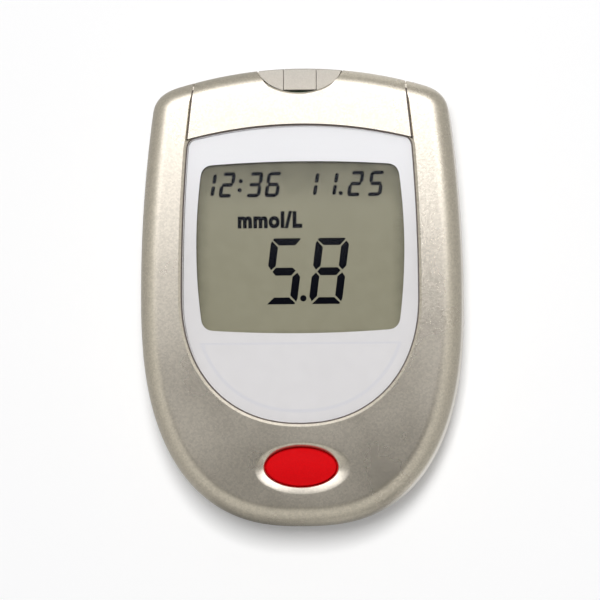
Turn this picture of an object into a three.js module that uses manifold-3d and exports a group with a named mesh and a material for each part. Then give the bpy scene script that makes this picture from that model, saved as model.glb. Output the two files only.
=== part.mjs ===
import * as THREE from "three";
import { mergeVertices } from "three/addons/utils/BufferGeometryUtils.js";
import Module from "manifold-3d";

const wasm = await Module();
wasm.setup();

// A blood glucose meter lying on its back, in millimetres.
// X runs across the face, Y towards the strip port and Z out of the display.

// Fits
const FIT = 0.3;
const FILM_GAP = 0.1;
const OVERRUN = 1;

// Case form
const CASE_WIDTH = 64;
const CASE_LENGTH = 91.3;
const CASE_THICKNESS = 22;
const CASE_SIDE_TAPER = 2.5;
const CASE_SHOULDER_DROP = 8.6;
const CASE_SHOULDER_RUN = 7.5;
const CASE_HEAD_ARCH = 3.6;
const FACE_CROWN = 1.2;
const FRONT_EDGE_RUN = 3.6;
const FRONT_EDGE_DROP = 4.6;
const BACK_EDGE_RUN = 5;
const BACK_EDGE_DROP = 6;
const SEAM_HEIGHT = 9.6;
const WALL = 1.8;
const LIP_HEIGHT = 1.2;
const LIP_INSET = 1;
const FOOT_POWER = 2.5;

// Display lens and its recess
const RAIL_WIDTH = 8.2;
const LENS_FOOT_SET_BACK = 20.25;
const LENS_HEAD_SET_BACK = 11.85;
const LENS_SIDE_TAPER = 1.15;
const LENS_SHOULDER_DROP = 4.4;
const LENS_SHOULDER_RUN = 2.4;
const LENS_HEAD_ARCH = 2.5;
const LENS_THICKNESS = 1.9;
const LENS_SINK = 0.35;
const LENS_EDGE_ROUND = 0.35;
const LENS_FOOT_POWER = 2.2;
const MASK_THICKNESS = 0.2;
const SEAT_THICKNESS = 1.4;
const SEAT_RIM = 1.8;
const RECESS_CHAMFER = 0.55;

// Display window
const WINDOW_SIDE_BORDER = 3.1;
const WINDOW_HEAD_BORDER = 7;
const WINDOW_FOOT_BORDER = 18;
const WINDOW_SIDE_TAPER = 0.9;
const WINDOW_SHOULDER_DROP = 2.9;
const WINDOW_SHOULDER_RUN = 3.3;
const WINDOW_ARCH = 0.6;
const WINDOW_MARGIN = 0.9;

// Top cover and strip port
const COVER_HEAD_SET_IN = 11.4;
const COVER_FOOT_SET_IN = 9.8;
const COVER_LENS_GAP = 0.4;
const COVER_CORNER_DROP = 2.85;
const COVER_WALL = 1.5;
const COVER_BASE_HEIGHT = 15;
const COVER_LEDGE_LENGTH = 7;
const SCOOP_HALF_WIDTH = 8.75;
const SCOOP_DEPTH = 4.95;
const SCOOP_RISE = 0.5;
const SCOOP_CHAMFER = 0.45;
const GUIDE_WIDTH = 6.5;
const GUIDE_TOP_HEIGHT = 18.3;
const GUIDE_SLOT_LENGTH = 0.55;
const INSERT_FLOOR = 1.1;
const PAD_DROP = 0.15;

// Main button
const BUTTON_HALF_WIDTH = 7;
const BUTTON_HALF_LENGTH = 3.75;
const BUTTON_SET_BACK = 11.35;
const BUTTON_EDGE_SINK = 0.75;
const BUTTON_DOME = 0.85;
const BUTTON_EDGE_ROUND = 0.3;
const BUTTON_TRAVEL = 0.5;
const BUTTON_FLANGE = 1;
const BUTTON_FLANGE_THICKNESS = 0.8;
const BUTTON_STEM_RADIUS = 1.6;
const DISH_RUN = 2.45;
const DISH_LENGTH_RUN = 1.5;
const DISH_DEPTH = 0.3;
const COLLAR_WALL = 1.1;
const COLLAR_DROP = 0.6;

// Battery bay, cells and door
const CELL_DIAMETER = 10.5;
const CELL_LENGTH = 44.5;
const CELL_NUB_RADIUS = 1.9;
const CELL_NUB_LENGTH = 0.9;
const CELL_CHAMFER = 0.4;
const CELL_SPACING = 11.2;
const BAY_END_SPARE = 5.1;
const BAY_SET_BACK = 11.25;
const BAY_WALL = 1.3;
const BAY_ROOF = 1;
const DOOR_WIDTH = 28;
const DOOR_HEAD_SPARE = 7.8;
const DOOR_THICKNESS = 1.5;
const DOOR_HEIGHT = 6.5;
const DOOR_SKIN = 1.5;
const DOOR_TRAVEL = 8;
const TONGUE_LENGTH = 4;
const TONGUE_REACH = 1.4;
const TONGUE_THICKNESS = 0.6;
const TONGUE_HEIGHT = 0.7;
const TONGUE_Y_SHARES = [0.62, 0.04];
const GRIP_COUNT = 5;
const GRIP_PITCH = 1.8;
const GRIP_WIDTH = 0.8;
const GRIP_DEPTH = 0.35;
const GRIP_LENGTH = 13;
const GRIP_SET_BACK = 12.65;

// Battery contacts
const PLATE_THICKNESS = 0.4;
const PLATE_WIDTH = 8;
const PLATE_HEIGHT = 8;
const LEAF_WIDTH = 4;
const SOLDER_TAB_WIDTH = 2;

// Circuit board
const BOARD_THICKNESS = 1;
const BOARD_MARGIN = 3.2;

// Liquid crystal panel, holder and contact strips
const PANEL_SIDE_SPARE = 1.3;
const PANEL_END_SPARE = 2.7;
const PANEL_THICKNESS = 1.4;
const REFLECTOR_THICKNESS = 0.2;
const CONTACT_LEDGE = 2.6;
const HOLDER_WALL = 1.1;
const HOLDER_SHELF = 3.4;
const ZEBRA_WIDTH = 1.6;
const ZEBRA_SET_IN = 4;
const HOLDER_LEG_WIDTH = 3;
const HOLDER_LEG_THICKNESS = 1;
const HOLDER_LEG_LENGTH = 0.8;
const HOLDER_LEG_SHARE = 0.6;

// Strip connector
const CONNECTOR_WIDTH = 11;
const CONNECTOR_LENGTH = 7.6;
const CONNECTOR_ROOF = 0.6;
const STRIP_WIDTH = 6;
const STRIP_SLOT_HEIGHT = 0.7;
const PIN_COUNT = 4;
const PIN_PITCH = 1.3;
const PIN_WIDTH = 0.5;
const PIN_THICKNESS = 0.25;
const PIN_FOOT_LENGTH = 0.9;

// Parts on the board
const CHIP_SIDE = 9;
const CHIP_THICKNESS = 1.3;
const CRYSTAL_LENGTH = 6;
const CRYSTAL_WIDTH = 2.6;
const CRYSTAL_THICKNESS = 1.8;
const CRYSTAL_GAP = 0.8;
const BEEPER_RADIUS = 4.5;
const BEEPER_THICKNESS = 3.2;
const SOUND_HOLE_RADIUS = 0.6;
const SOUND_HOLE_RING = 2.2;
const SOUND_HOLE_COUNT = 5;

// Tact switches
const SWITCH_SIDE = 5.2;
const SWITCH_THICKNESS = 1.5;
const PLUNGER_RADIUS = 1.2;
const PLUNGER_PROUD = 0.8;
const PLUNGER_FIT = 0.15;

// Set button in the battery bay
const SET_X = 6;
const SET_HEAD_GAP = 4.6;
const SET_TIP_RADIUS = 1.6;
const SET_FLANGE_RADIUS = 2.4;
const SET_FLANGE_THICKNESS = 0.8;
const SET_STEM_RADIUS = 1.1;
const SET_TRAVEL = 0.4;
const SET_GUIDE_THICKNESS = 1.6;
const SET_GUIDE_DROP = 2.4;

// Screws and their posts
const CASE_SCREW_HEAD_RADIUS = 1.9;
const CASE_SCREW_HEAD_HEIGHT = 1.5;
const CASE_SCREW_SHANK_RADIUS = 1;
const CASE_SCREW_LENGTH = 9.5;
const CASE_SCREW_SINK = 3.2;
const POST_RADIUS = 2.75;
const CASE_SCREW_SET_IN = 6.8;
const CASE_SCREW_HEAD_SET_BACK = 12.25;
const CASE_SCREW_FOOT_SET_BACK = 28.65;
const BOARD_SCREW_HEAD_RADIUS = 1.7;
const BOARD_SCREW_HEAD_HEIGHT = 1.1;
const BOARD_SCREW_SHANK_RADIUS = 0.8;
const BOARD_SCREW_LENGTH = 4;
const BOARD_POST_RADIUS = 2;
const BOARD_SCREW_SET_IN = 7.45;
const BOARD_SCREW_SET_BACK = 18.65;
const SHANK_FIT = 0.2;
const CROSS_SLOT_WIDTH = 0.5;
const CROSS_SLOT_DEPTH = 0.7;
const CROSS_SLOT_SHARE = 0.7;

// Fineness of the curves
const SIDE_STEPS = 5;
const SHOULDER_STEPS = 5;
const HEAD_STEPS = 7;
const FOOT_STEPS = 30;
const EDGE_STEPS = 4;
const ROUND_SIDES = 20;
const ELLIPSE_SIDES = 36;
const CAP_SHARES = [0.66, 0.33];

// Plan worked out from the sizes above
const HALF_LENGTH = CASE_LENGTH / 2;
const HALF_WIDTH = CASE_WIDTH / 2;
const LENS_WIDTH = CASE_WIDTH - 2 * RAIL_WIDTH;
const LENS_FOOT_LENGTH = HALF_LENGTH - LENS_FOOT_SET_BACK;
const LENS_HEAD_LENGTH = HALF_LENGTH - LENS_HEAD_SET_BACK;
const WINDOW_FOOT_Y = WINDOW_FOOT_BORDER - LENS_FOOT_LENGTH;
const WINDOW_HEAD_Y = LENS_HEAD_LENGTH - WINDOW_HEAD_BORDER;
const WINDOW_WIDTH = LENS_WIDTH - 2 * WINDOW_SIDE_BORDER;
const WINDOW_LENGTH = WINDOW_HEAD_Y - WINDOW_FOOT_Y;
const WINDOW_CENTRE_Y = (WINDOW_HEAD_Y + WINDOW_FOOT_Y) / 2;
const PANEL_WIDTH = WINDOW_WIDTH + 2 * PANEL_SIDE_SPARE;
const PANEL_LENGTH = WINDOW_LENGTH + 2 * PANEL_END_SPARE;
const ZEBRA_LENGTH = PANEL_WIDTH - 2 * ZEBRA_SET_IN;
const COVER_HEAD_WIDTH = CASE_WIDTH - 2 * COVER_HEAD_SET_IN;
const COVER_FOOT_WIDTH = CASE_WIDTH - 2 * COVER_FOOT_SET_IN;
const BAY_FOOT_Y = BAY_SET_BACK - HALF_LENGTH;
const BAY_HEAD_Y = BAY_FOOT_Y + CELL_LENGTH + BAY_END_SPARE;
const DOOR_HEAD_Y = BAY_HEAD_Y + DOOR_HEAD_SPARE;
const SET_Y = BAY_HEAD_Y + SET_HEAD_GAP;
const SCOOP_CENTRE_Y = HALF_LENGTH + SCOOP_RISE;
const SCOOP_REACH = SCOOP_DEPTH + SCOOP_RISE;
const CASE_SCREW_X = HALF_WIDTH - CASE_SCREW_SET_IN;
const CASE_SCREW_HEAD_Y = HALF_LENGTH - CASE_SCREW_HEAD_SET_BACK;
const CASE_SCREW_FOOT_Y = CASE_SCREW_FOOT_SET_BACK - HALF_LENGTH;

// Heights worked out from the sizes above
const CELL_AXIS_HEIGHT = DOOR_THICKNESS + FIT + CELL_DIAMETER / 2;
const BAY_CEILING = CELL_AXIS_HEIGHT + CELL_DIAMETER / 2 + FIT;
const BOARD_BASE = BAY_CEILING + BAY_ROOF + FIT;
const BOARD_TOP = BOARD_BASE + BOARD_THICKNESS;
const LENS_BASE = CASE_THICKNESS - LENS_SINK - LENS_THICKNESS;
const SEAT_TOP = LENS_BASE - FILM_GAP - MASK_THICKNESS;
const SEAT_BASE = SEAT_TOP - SEAT_THICKNESS;
const PANEL_TOP = SEAT_BASE - FIT;
const PANEL_BASE = PANEL_TOP - PANEL_THICKNESS;
const FRONT_BASE = SEAM_HEIGHT + FIT / 2;
const BACK_TOP = SEAM_HEIGHT - FIT / 2;

// Places beside the battery bay, worked out from the sizes above
const BAY_HALF_WIDTH = (CELL_SPACING + CELL_DIAMETER) / 2 + FIT;
const BAY_SIDE_X = BAY_HALF_WIDTH + BAY_WALL;
const BOARD_SCREW_X = (BAY_SIDE_X + HALF_WIDTH - BOARD_SCREW_SET_IN) / 2;
const BOARD_SCREW_Y = BOARD_SCREW_SET_BACK - HALF_LENGTH;
const BEEPER_X = (BAY_SIDE_X + HALF_WIDTH - BOARD_MARGIN) / 2;
const BEEPER_Y = WINDOW_CENTRE_Y;
const CHIP_X = -BEEPER_X;
const CHIP_Y = WINDOW_CENTRE_Y;
const CRYSTAL_X = -BAY_SIDE_X - CRYSTAL_GAP - CRYSTAL_LENGTH / 2;
const CRYSTAL_Y = CHIP_Y - CHIP_SIDE / 2 - CRYSTAL_GAP - CRYSTAL_WIDTH / 2;

// Finishes
function finish(color, roughness, metalness) {
  return new THREE.MeshStandardMaterial({ color, roughness, metalness });
}

const SILVER_PAINT = finish(0xcfc8b8, 0.4, 0.6);
const MATTE_BEIGE = finish(0xc4bfb4, 0.7, 0.1);
const RED_PLASTIC = finish(0xd4141c, 0.35, 0);
const CLEAR_ACRYLIC = finish(0xf2f4f8, 0.1, 0);
const WHITE_FILM = finish(0xeaeaf0, 0.5, 0);
const PANEL_GLASS = finish(0x949278, 0.3, 0);
const REFLECTOR_FILM = finish(0x9d9c86, 0.5, 0.3);
const WHITE_PLASTIC = finish(0xdedede, 0.6, 0);
const BLACK_PLASTIC = finish(0x1c1c1e, 0.6, 0);
const GREY_RUBBER = finish(0x8a8a8c, 0.8, 0);
const BOARD_GREEN = finish(0x1f5d38, 0.5, 0);
const TINNED_METAL = finish(0xb9bcc0, 0.3, 0.9);
const GOLD_METAL = finish(0xd6b25e, 0.3, 1);
const CELL_WRAP = finish(0x2d4f87, 0.35, 0.2);
const GREY_PLASTIC = finish(0x6e7073, 0.6, 0);

// Solids and meshes
function solid(geometry) {
  geometry.deleteAttribute("normal");
  geometry.deleteAttribute("uv");
  const merged = mergeVertices(geometry);
  const mesh = new wasm.Mesh({
    numProp: 3,
    vertProperties: new Float32Array(merged.attributes.position.array),
    triVerts: new Uint32Array(merged.index.array),
  });
  return new wasm.Manifold(mesh);
}

function named(name, shape, material) {
  const data = shape.getMesh();
  const geometry = new THREE.BufferGeometry();
  geometry.setAttribute("position", new THREE.BufferAttribute(data.vertProperties, data.numProp));
  geometry.setIndex(new THREE.BufferAttribute(data.triVerts, 1));
  geometry.computeVertexNormals();
  const mesh = new THREE.Mesh(geometry, material);
  mesh.name = name;
  return mesh;
}

function joined(shapes) {
  return shapes.reduce((whole, shape) => whole.add(shape));
}

function slab(left, right, near, far, low, high) {
  const geometry = new THREE.BoxGeometry(right - left, far - near, high - low);
  geometry.translate((left + right) / 2, (near + far) / 2, (low + high) / 2);
  return solid(geometry);
}

function rod(x, y, radius, low, high) {
  const geometry = new THREE.CylinderGeometry(radius, radius, high - low, ROUND_SIDES);
  geometry.rotateX(Math.PI / 2);
  geometry.translate(x, y, (low + high) / 2);
  return solid(geometry);
}

function prism(outline, low, high) {
  const shape = new THREE.Shape(outline);
  const geometry = new THREE.ExtrudeGeometry(shape, { depth: high - low, bevelEnabled: false });
  geometry.translate(0, 0, low);
  return solid(geometry);
}

// An outline of Y and Z points, pulled out along X.
function sideProfile(outline, left, right) {
  const shape = new THREE.Shape(outline);
  const geometry = new THREE.ExtrudeGeometry(shape, { depth: right - left, bevelEnabled: false });
  const axes = new THREE.Matrix4();
  axes.makeBasis(new THREE.Vector3(0, 1, 0), new THREE.Vector3(0, 0, 1), new THREE.Vector3(1, 0, 0));
  geometry.applyMatrix4(axes);
  geometry.translate(left, 0, 0);
  return solid(geometry);
}

// Bent sheet metal: a path of Y and Z points with a thickness to its left.
function bentSheet(path, thickness, left, right) {
  const back = path.map((point, index) => {
    const before = path[Math.max(index - 1, 0)];
    const after = path[Math.min(index + 1, path.length - 1)];
    const into = index > 0 ? point.clone().sub(before).normalize() : after.clone().sub(point).normalize();
    const out = index < path.length - 1 ? after.clone().sub(point).normalize() : into;
    const normal = new THREE.Vector2(-into.y - out.y, into.x + out.x).normalize();
    const spread = normal.dot(new THREE.Vector2(-into.y, into.x));
    return point.clone().addScaledVector(normal, thickness / spread);
  });
  return sideProfile([...path, ...back.reverse()], left, right);
}

// Outlines
function linesMeet(start, startEnd, finishStart, finishEnd) {
  const first = startEnd.clone().sub(start);
  const second = finishEnd.clone().sub(finishStart);
  const share = finishStart.clone().sub(start).cross(second) / first.cross(second);
  return start.clone().addScaledVector(first, share);
}

// Half an outline from +X over to -X: bowed sides, rounded shoulders and an arched end.
function archedEnd(halfWidth, length, taper, drop, run, arch) {
  const widest = new THREE.Vector2(halfWidth, 0);
  const side = new THREE.Vector2(halfWidth - taper, length - drop);
  const sidePull = new THREE.Vector2(halfWidth, side.y / 2);
  const head = new THREE.Vector2(halfWidth - run, length - arch);
  const headPull = new THREE.Vector2(head.x / 2, length);
  const apex = new THREE.Vector2(0, length);
  const shoulderPull = linesMeet(sidePull, side, headPull, head);
  const right = [
    ...new THREE.QuadraticBezierCurve(widest, sidePull, side).getPoints(SIDE_STEPS).slice(0, -1),
    ...new THREE.QuadraticBezierCurve(side, shoulderPull, head).getPoints(SHOULDER_STEPS).slice(0, -1),
    ...new THREE.QuadraticBezierCurve(head, headPull, apex).getPoints(HEAD_STEPS),
  ];
  const left = right.slice(0, -1).map((point) => new THREE.Vector2(-point.x, point.y));
  return [...right, ...left.reverse()];
}

// Half an outline from -X under to +X, rounded by a power between an ellipse and a box.
function roundedEnd(halfWidth, length, power) {
  const points = [];
  for (let step = 1; step < FOOT_STEPS; step += 1) {
    const angle = Math.PI + (Math.PI * step) / FOOT_STEPS;
    const across = Math.sign(Math.cos(angle)) * Math.abs(Math.cos(angle)) ** (2 / power);
    const along = Math.abs(Math.sin(angle)) ** (2 / power);
    points.push(new THREE.Vector2(halfWidth * across, -length * along));
  }
  return points;
}

function ellipse(centreY, halfWidth, halfLength) {
  const curve = new THREE.EllipseCurve(0, centreY, halfWidth, halfLength);
  return curve.getPoints(ELLIPSE_SIDES).slice(0, -1);
}

// An anticlockwise outline drawn in by a distance, or out where it is negative.
function drawnIn(outline, distance) {
  return outline.map((point, index) => {
    const before = outline[(index + outline.length - 1) % outline.length];
    const after = outline[(index + 1) % outline.length];
    const into = point.clone().sub(before).normalize();
    const out = after.clone().sub(point).normalize();
    const normal = new THREE.Vector2(-into.y - out.y, into.x + out.x).normalize();
    const spread = normal.dot(new THREE.Vector2(-into.y, into.x));
    return point.clone().addScaledVector(normal, distance / spread);
  });
}

function caseOutline() {
  const head = archedEnd(
    CASE_WIDTH / 2,
    HALF_LENGTH,
    CASE_SIDE_TAPER,
    CASE_SHOULDER_DROP,
    CASE_SHOULDER_RUN,
    CASE_HEAD_ARCH,
  );
  return [...head, ...roundedEnd(CASE_WIDTH / 2, HALF_LENGTH, FOOT_POWER)];
}

function lensOutline() {
  const head = archedEnd(
    LENS_WIDTH / 2,
    LENS_HEAD_LENGTH,
    LENS_SIDE_TAPER,
    LENS_SHOULDER_DROP,
    LENS_SHOULDER_RUN,
    LENS_HEAD_ARCH,
  );
  return [...head, ...roundedEnd(LENS_WIDTH / 2, LENS_FOOT_LENGTH, LENS_FOOT_POWER)];
}

function windowOutline() {
  const head = archedEnd(
    WINDOW_WIDTH / 2,
    WINDOW_LENGTH / 2,
    WINDOW_SIDE_TAPER,
    WINDOW_SHOULDER_DROP,
    WINDOW_SHOULDER_RUN,
    WINDOW_ARCH,
  );
  const foot = head.slice(1, -1).map((point) => new THREE.Vector2(-point.x, -point.y));
  return [...head, ...foot].map((point) => new THREE.Vector2(point.x, point.y + WINDOW_CENTRE_Y));
}

// The cover's plan, grown at its sides and foot: splayed sides, an arched foot, open past the case's end.
function coverOutline(sideSpare, footSpare) {
  const apexY = LENS_HEAD_LENGTH + COVER_LENS_GAP;
  const cornerY = apexY - COVER_CORNER_DROP;
  const splay = (COVER_FOOT_WIDTH - COVER_HEAD_WIDTH) / 2 / (HALF_LENGTH - cornerY);
  const footHalf = COVER_FOOT_WIDTH / 2 + sideSpare + splay * footSpare;
  const headHalf = COVER_HEAD_WIDTH / 2 + sideSpare - splay * OVERRUN;
  const left = new THREE.Vector2(-footHalf, cornerY - footSpare);
  const right = new THREE.Vector2(footHalf, cornerY - footSpare);
  const pull = new THREE.Vector2(0, apexY + COVER_CORNER_DROP - footSpare);
  const arch = new THREE.QuadraticBezierCurve(left, pull, right).getPoints(2 * HEAD_STEPS);
  const reach = HALF_LENGTH + OVERRUN;
  return [...arch, new THREE.Vector2(headHalf, reach), new THREE.Vector2(-headHalf, reach)];
}

const CASE_OUTLINE = caseOutline();
const LENS_OUTLINE = lensOutline();
const WINDOW_OUTLINE = windowOutline();
const COVER_OUTLINE = coverOutline(0, 0);
const BAY_OUTLINE = coverOutline(FIT, COVER_LENS_GAP);

// Forms through rings of points
function faceHeight(y) {
  return CASE_THICKNESS - FACE_CROWN * (y / HALF_LENGTH) ** 2;
}

function ring(outline, distance, height) {
  return drawnIn(outline, distance).map((point) => new THREE.Vector3(point.x, point.y, height(point.y)));
}

function centreOf(points) {
  const box = new THREE.Box3().setFromPoints(points);
  return box.getCenter(new THREE.Vector3());
}

// The cap over a ring, drawn in to its centre while it follows a height.
function capRings(outer, height) {
  const centre = centreOf(outer);
  return CAP_SHARES.map((share) => outer.map((point) => {
    const moved = centre.clone().lerp(point, share);
    moved.z = height(moved.y);
    return moved;
  }));
}

// A closed solid through equal rings, listed from the lowest up, with a centre point at each end.
function loft(rings) {
  const count = rings[0].length;
  const points = rings.flat();
  const indices = [];
  const lowCentre = points.length;
  const highCentre = points.length + 1;
  const last = (rings.length - 1) * count;
  for (let index = 0; index < count; index += 1) {
    const next = (index + 1) % count;
    for (let level = 0; level < rings.length - 1; level += 1) {
      const low = level * count;
      const high = low + count;
      indices.push(low + index, low + next, high + next);
      indices.push(low + index, high + next, high + index);
    }
    indices.push(lowCentre, next, index);
    indices.push(highCentre, last + index, last + next);
  }
  const lowest = centreOf(rings[0]);
  const highest = centreOf(rings[rings.length - 1]);
  lowest.z = rings[0][0].z;
  const geometry = new THREE.BufferGeometry().setFromPoints([...points, lowest, highest]);
  geometry.setIndex(indices);
  return solid(geometry);
}

// The front's form drawn in by a distance: straight sides, a rounded edge and a crowned face.
function frontForm(distance, low) {
  const run = FRONT_EDGE_RUN - distance;
  const drop = FRONT_EDGE_DROP - distance;
  const rings = [ring(CASE_OUTLINE, distance, () => low)];
  for (let step = 0; step <= EDGE_STEPS; step += 1) {
    const angle = (Math.PI * step) / EDGE_STEPS / 2;
    const sunk = distance + drop * (1 - Math.sin(angle));
    const inset = distance + run * (1 - Math.cos(angle));
    rings.push(ring(CASE_OUTLINE, inset, (y) => faceHeight(y) - sunk));
  }
  const face = (y) => faceHeight(y) - distance;
  rings.push(...capRings(rings[rings.length - 1], face));
  return loft(rings);
}

// The back's form drawn in by a distance: a flat back, a rounded edge and straight sides.
function backForm(distance, high) {
  const run = BACK_EDGE_RUN - distance;
  const drop = BACK_EDGE_DROP - distance;
  const rings = [];
  for (let step = 0; step <= EDGE_STEPS; step += 1) {
    const angle = (Math.PI * step) / EDGE_STEPS / 2;
    const inset = distance + run * (1 - Math.sin(angle));
    const height = distance + drop * (1 - Math.cos(angle));
    rings.push(ring(CASE_OUTLINE, inset, () => height));
  }
  rings.push(ring(CASE_OUTLINE, distance, () => high));
  return loft(rings);
}

// A recess up through the face from a flat floor, with a chamfer where its wall meets the face.
function chamferedCut(outline, floor, size) {
  const rings = [
    ring(outline, 0, () => floor),
    ring(outline, 0, (y) => faceHeight(y) - size),
    ring(outline, -size - OVERRUN, (y) => faceHeight(y) + OVERRUN),
  ];
  return loft(rings);
}

// Places of what repeats
function mirroredPlaces(x, ys) {
  return ys.flatMap((y) => [[-x, y], [x, y]]);
}

const CASE_SCREW_PLACES = mirroredPlaces(CASE_SCREW_X, [CASE_SCREW_HEAD_Y, CASE_SCREW_FOOT_Y]);
const BOARD_SCREW_PLACES = mirroredPlaces(BOARD_SCREW_X, [BOARD_SCREW_Y]);

// Shared places
const POST_FOOT_TOP = BACK_TOP - LIP_HEIGHT;
const SCREW_HEAD_TOP = CASE_SCREW_SINK + CASE_SCREW_HEAD_HEIGHT;
const COVER_LEDGE_END = LENS_HEAD_LENGTH + COVER_LENS_GAP - COVER_CORNER_DROP + COVER_LEDGE_LENGTH;
const BUTTON_Y = BUTTON_SET_BACK - HALF_LENGTH;
const BUTTON_FACE = faceHeight(BUTTON_Y);
const COLLAR_BASE = BUTTON_FACE - WALL - COLLAR_DROP;
const PANEL_HEAD_Y = WINDOW_CENTRE_Y + PANEL_LENGTH / 2;
const PANEL_FOOT_Y = WINDOW_CENTRE_Y - PANEL_LENGTH / 2;
const CONNECTOR_FAR_Y = SCOOP_CENTRE_Y - SCOOP_REACH - FIT;
const CONNECTOR_NEAR_Y = CONNECTOR_FAR_Y - CONNECTOR_LENGTH;
const STRIP_SLOT_BASE = GUIDE_TOP_HEIGHT - FILM_GAP;
const STRIP_SLOT_TOP = STRIP_SLOT_BASE + STRIP_SLOT_HEIGHT;
const INSERT_BASE = COVER_BASE_HEIGHT;

// Front housing
function coverBayCut() {
  const floor = COVER_BASE_HEIGHT - FIT;
  const end = slab(-CASE_WIDTH, CASE_WIDTH, COVER_LEDGE_END, HALF_LENGTH + OVERRUN, floor, SEAT_TOP);
  const deep = prism(BAY_OUTLINE, floor, SEAT_TOP).intersect(end);
  return chamferedCut(BAY_OUTLINE, SEAT_TOP, RECESS_CHAMFER).add(deep);
}

// The rim under the lens and the ledges under the cover's sides.
function seatBlock() {
  const lensRim = prism(drawnIn(LENS_OUTLINE, -FIT - SEAT_RIM), SEAT_BASE, CASE_THICKNESS);
  const coverRim = prism(drawnIn(BAY_OUTLINE, -SEAT_RIM), SEAT_BASE, CASE_THICKNESS);
  const near = slab(-CASE_WIDTH, CASE_WIDTH, 0, COVER_LEDGE_END, SEAT_BASE, CASE_THICKNESS);
  return lensRim.add(coverRim.intersect(near)).intersect(frontForm(WALL / 2, FRONT_BASE));
}

function connectorOpening() {
  const half = COVER_HEAD_WIDTH / 2 - SEAT_RIM;
  const near = PANEL_HEAD_Y + HOLDER_WALL;
  return slab(-half, half, near, HALF_LENGTH, SEAT_BASE - OVERRUN, SEAT_TOP + OVERRUN);
}

// The button's hole and the dished ring that widens it up to the face.
function buttonWell() {
  const halfWidth = BUTTON_HALF_WIDTH + FIT;
  const halfLength = BUTTON_HALF_LENGTH + FIT;
  const hole = ellipse(BUTTON_Y, halfWidth, halfLength);
  const rings = [
    ring(hole, 0, () => COLLAR_BASE - OVERRUN),
    ring(hole, 0, (y) => faceHeight(y) - DISH_DEPTH),
  ];
  for (let step = 1; step <= EDGE_STEPS + 1; step += 1) {
    const share = step / EDGE_STEPS;
    const outline = ellipse(
      BUTTON_Y,
      halfWidth + (DISH_RUN - FIT) * share,
      halfLength + (DISH_LENGTH_RUN - FIT) * share,
    );
    rings.push(ring(outline, 0, (y) => faceHeight(y) - DISH_DEPTH * (1 - share)));
  }
  return loft(rings);
}

function buttonCollar() {
  const spare = FIT + COLLAR_WALL;
  const outline = ellipse(BUTTON_Y, BUTTON_HALF_WIDTH + spare, BUTTON_HALF_LENGTH + spare);
  return prism(outline, COLLAR_BASE, BUTTON_FACE - WALL / 2);
}

function frontPosts() {
  const low = POST_FOOT_TOP + FIT;
  const boardLow = BOARD_TOP + FILM_GAP;
  const casePosts = CASE_SCREW_PLACES.map(([x, y]) => rod(x, y, POST_RADIUS, low, CASE_THICKNESS));
  const boardPosts = BOARD_SCREW_PLACES.map(([x, y]) => {
    return rod(x, y, BOARD_POST_RADIUS, boardLow, CASE_THICKNESS);
  });
  return joined([...casePosts, ...boardPosts]).intersect(frontForm(WALL / 2, POST_FOOT_TOP));
}

function frontPilots() {
  const caseRadius = CASE_SCREW_SHANK_RADIUS + SHANK_FIT;
  const boardRadius = BOARD_SCREW_SHANK_RADIUS + SHANK_FIT;
  const caseTop = SCREW_HEAD_TOP + CASE_SCREW_LENGTH + FIT;
  const boardTop = BOARD_BASE + BOARD_SCREW_LENGTH + FIT;
  const casePilots = CASE_SCREW_PLACES.map(([x, y]) => rod(x, y, caseRadius, 0, caseTop));
  const boardPilots = BOARD_SCREW_PLACES.map(([x, y]) => rod(x, y, boardRadius, 0, boardTop));
  return joined([...casePilots, ...boardPilots]);
}

function frontHousing() {
  const shell = frontForm(0, FRONT_BASE).subtract(frontForm(WALL, FRONT_BASE - OVERRUN));
  const rebate = prism(drawnIn(CASE_OUTLINE, LIP_INSET - FIT / 2), 0, FRONT_BASE + LIP_HEIGHT);
  const posts = frontPosts().subtract(frontPilots());
  const windowCut = prism(drawnIn(WINDOW_OUTLINE, -WINDOW_MARGIN), SEAT_BASE - OVERRUN, SEAT_TOP + OVERRUN);
  return joined([shell.subtract(rebate), seatBlock(), buttonCollar(), posts])
    .subtract(chamferedCut(drawnIn(LENS_OUTLINE, -FIT), SEAT_TOP, RECESS_CHAMFER))
    .subtract(coverBayCut())
    .subtract(windowCut)
    .subtract(connectorOpening())
    .subtract(buttonWell());
}

// Top cover and strip port
function topCover() {
  const hollow = frontForm(COVER_WALL, COVER_BASE_HEIGHT - OVERRUN);
  const shell = frontForm(0, COVER_BASE_HEIGHT).subtract(hollow);
  const scoop = ellipse(SCOOP_CENTRE_Y, SCOOP_HALF_WIDTH, SCOOP_REACH);
  return shell
    .intersect(prism(COVER_OUTLINE, 0, CASE_THICKNESS + OVERRUN))
    .subtract(chamferedCut(scoop, 0, SCOOP_CHAMFER));
}

function portInsert() {
  const outline = ellipse(SCOOP_CENTRE_Y, SCOOP_HALF_WIDTH - FIT, SCOOP_REACH - FIT);
  const channelHalf = GUIDE_WIDTH / 2 + FILM_GAP;
  const floor = INSERT_BASE + INSERT_FLOOR;
  const channel = slab(-channelHalf, channelHalf, 0, SCOOP_CENTRE_Y, floor, CASE_THICKNESS);
  return frontForm(0, INSERT_BASE)
    .intersect(prism(outline, INSERT_BASE, GUIDE_TOP_HEIGHT - PAD_DROP))
    .subtract(channel);
}

function stripGuide() {
  const half = GUIDE_WIDTH / 2;
  const near = SCOOP_CENTRE_Y - SCOOP_REACH + GUIDE_SLOT_LENGTH;
  const floor = INSERT_BASE + INSERT_FLOOR + FILM_GAP;
  return frontForm(0, INSERT_BASE)
    .intersect(slab(-half, half, near, SCOOP_CENTRE_Y, floor, GUIDE_TOP_HEIGHT));
}

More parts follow.
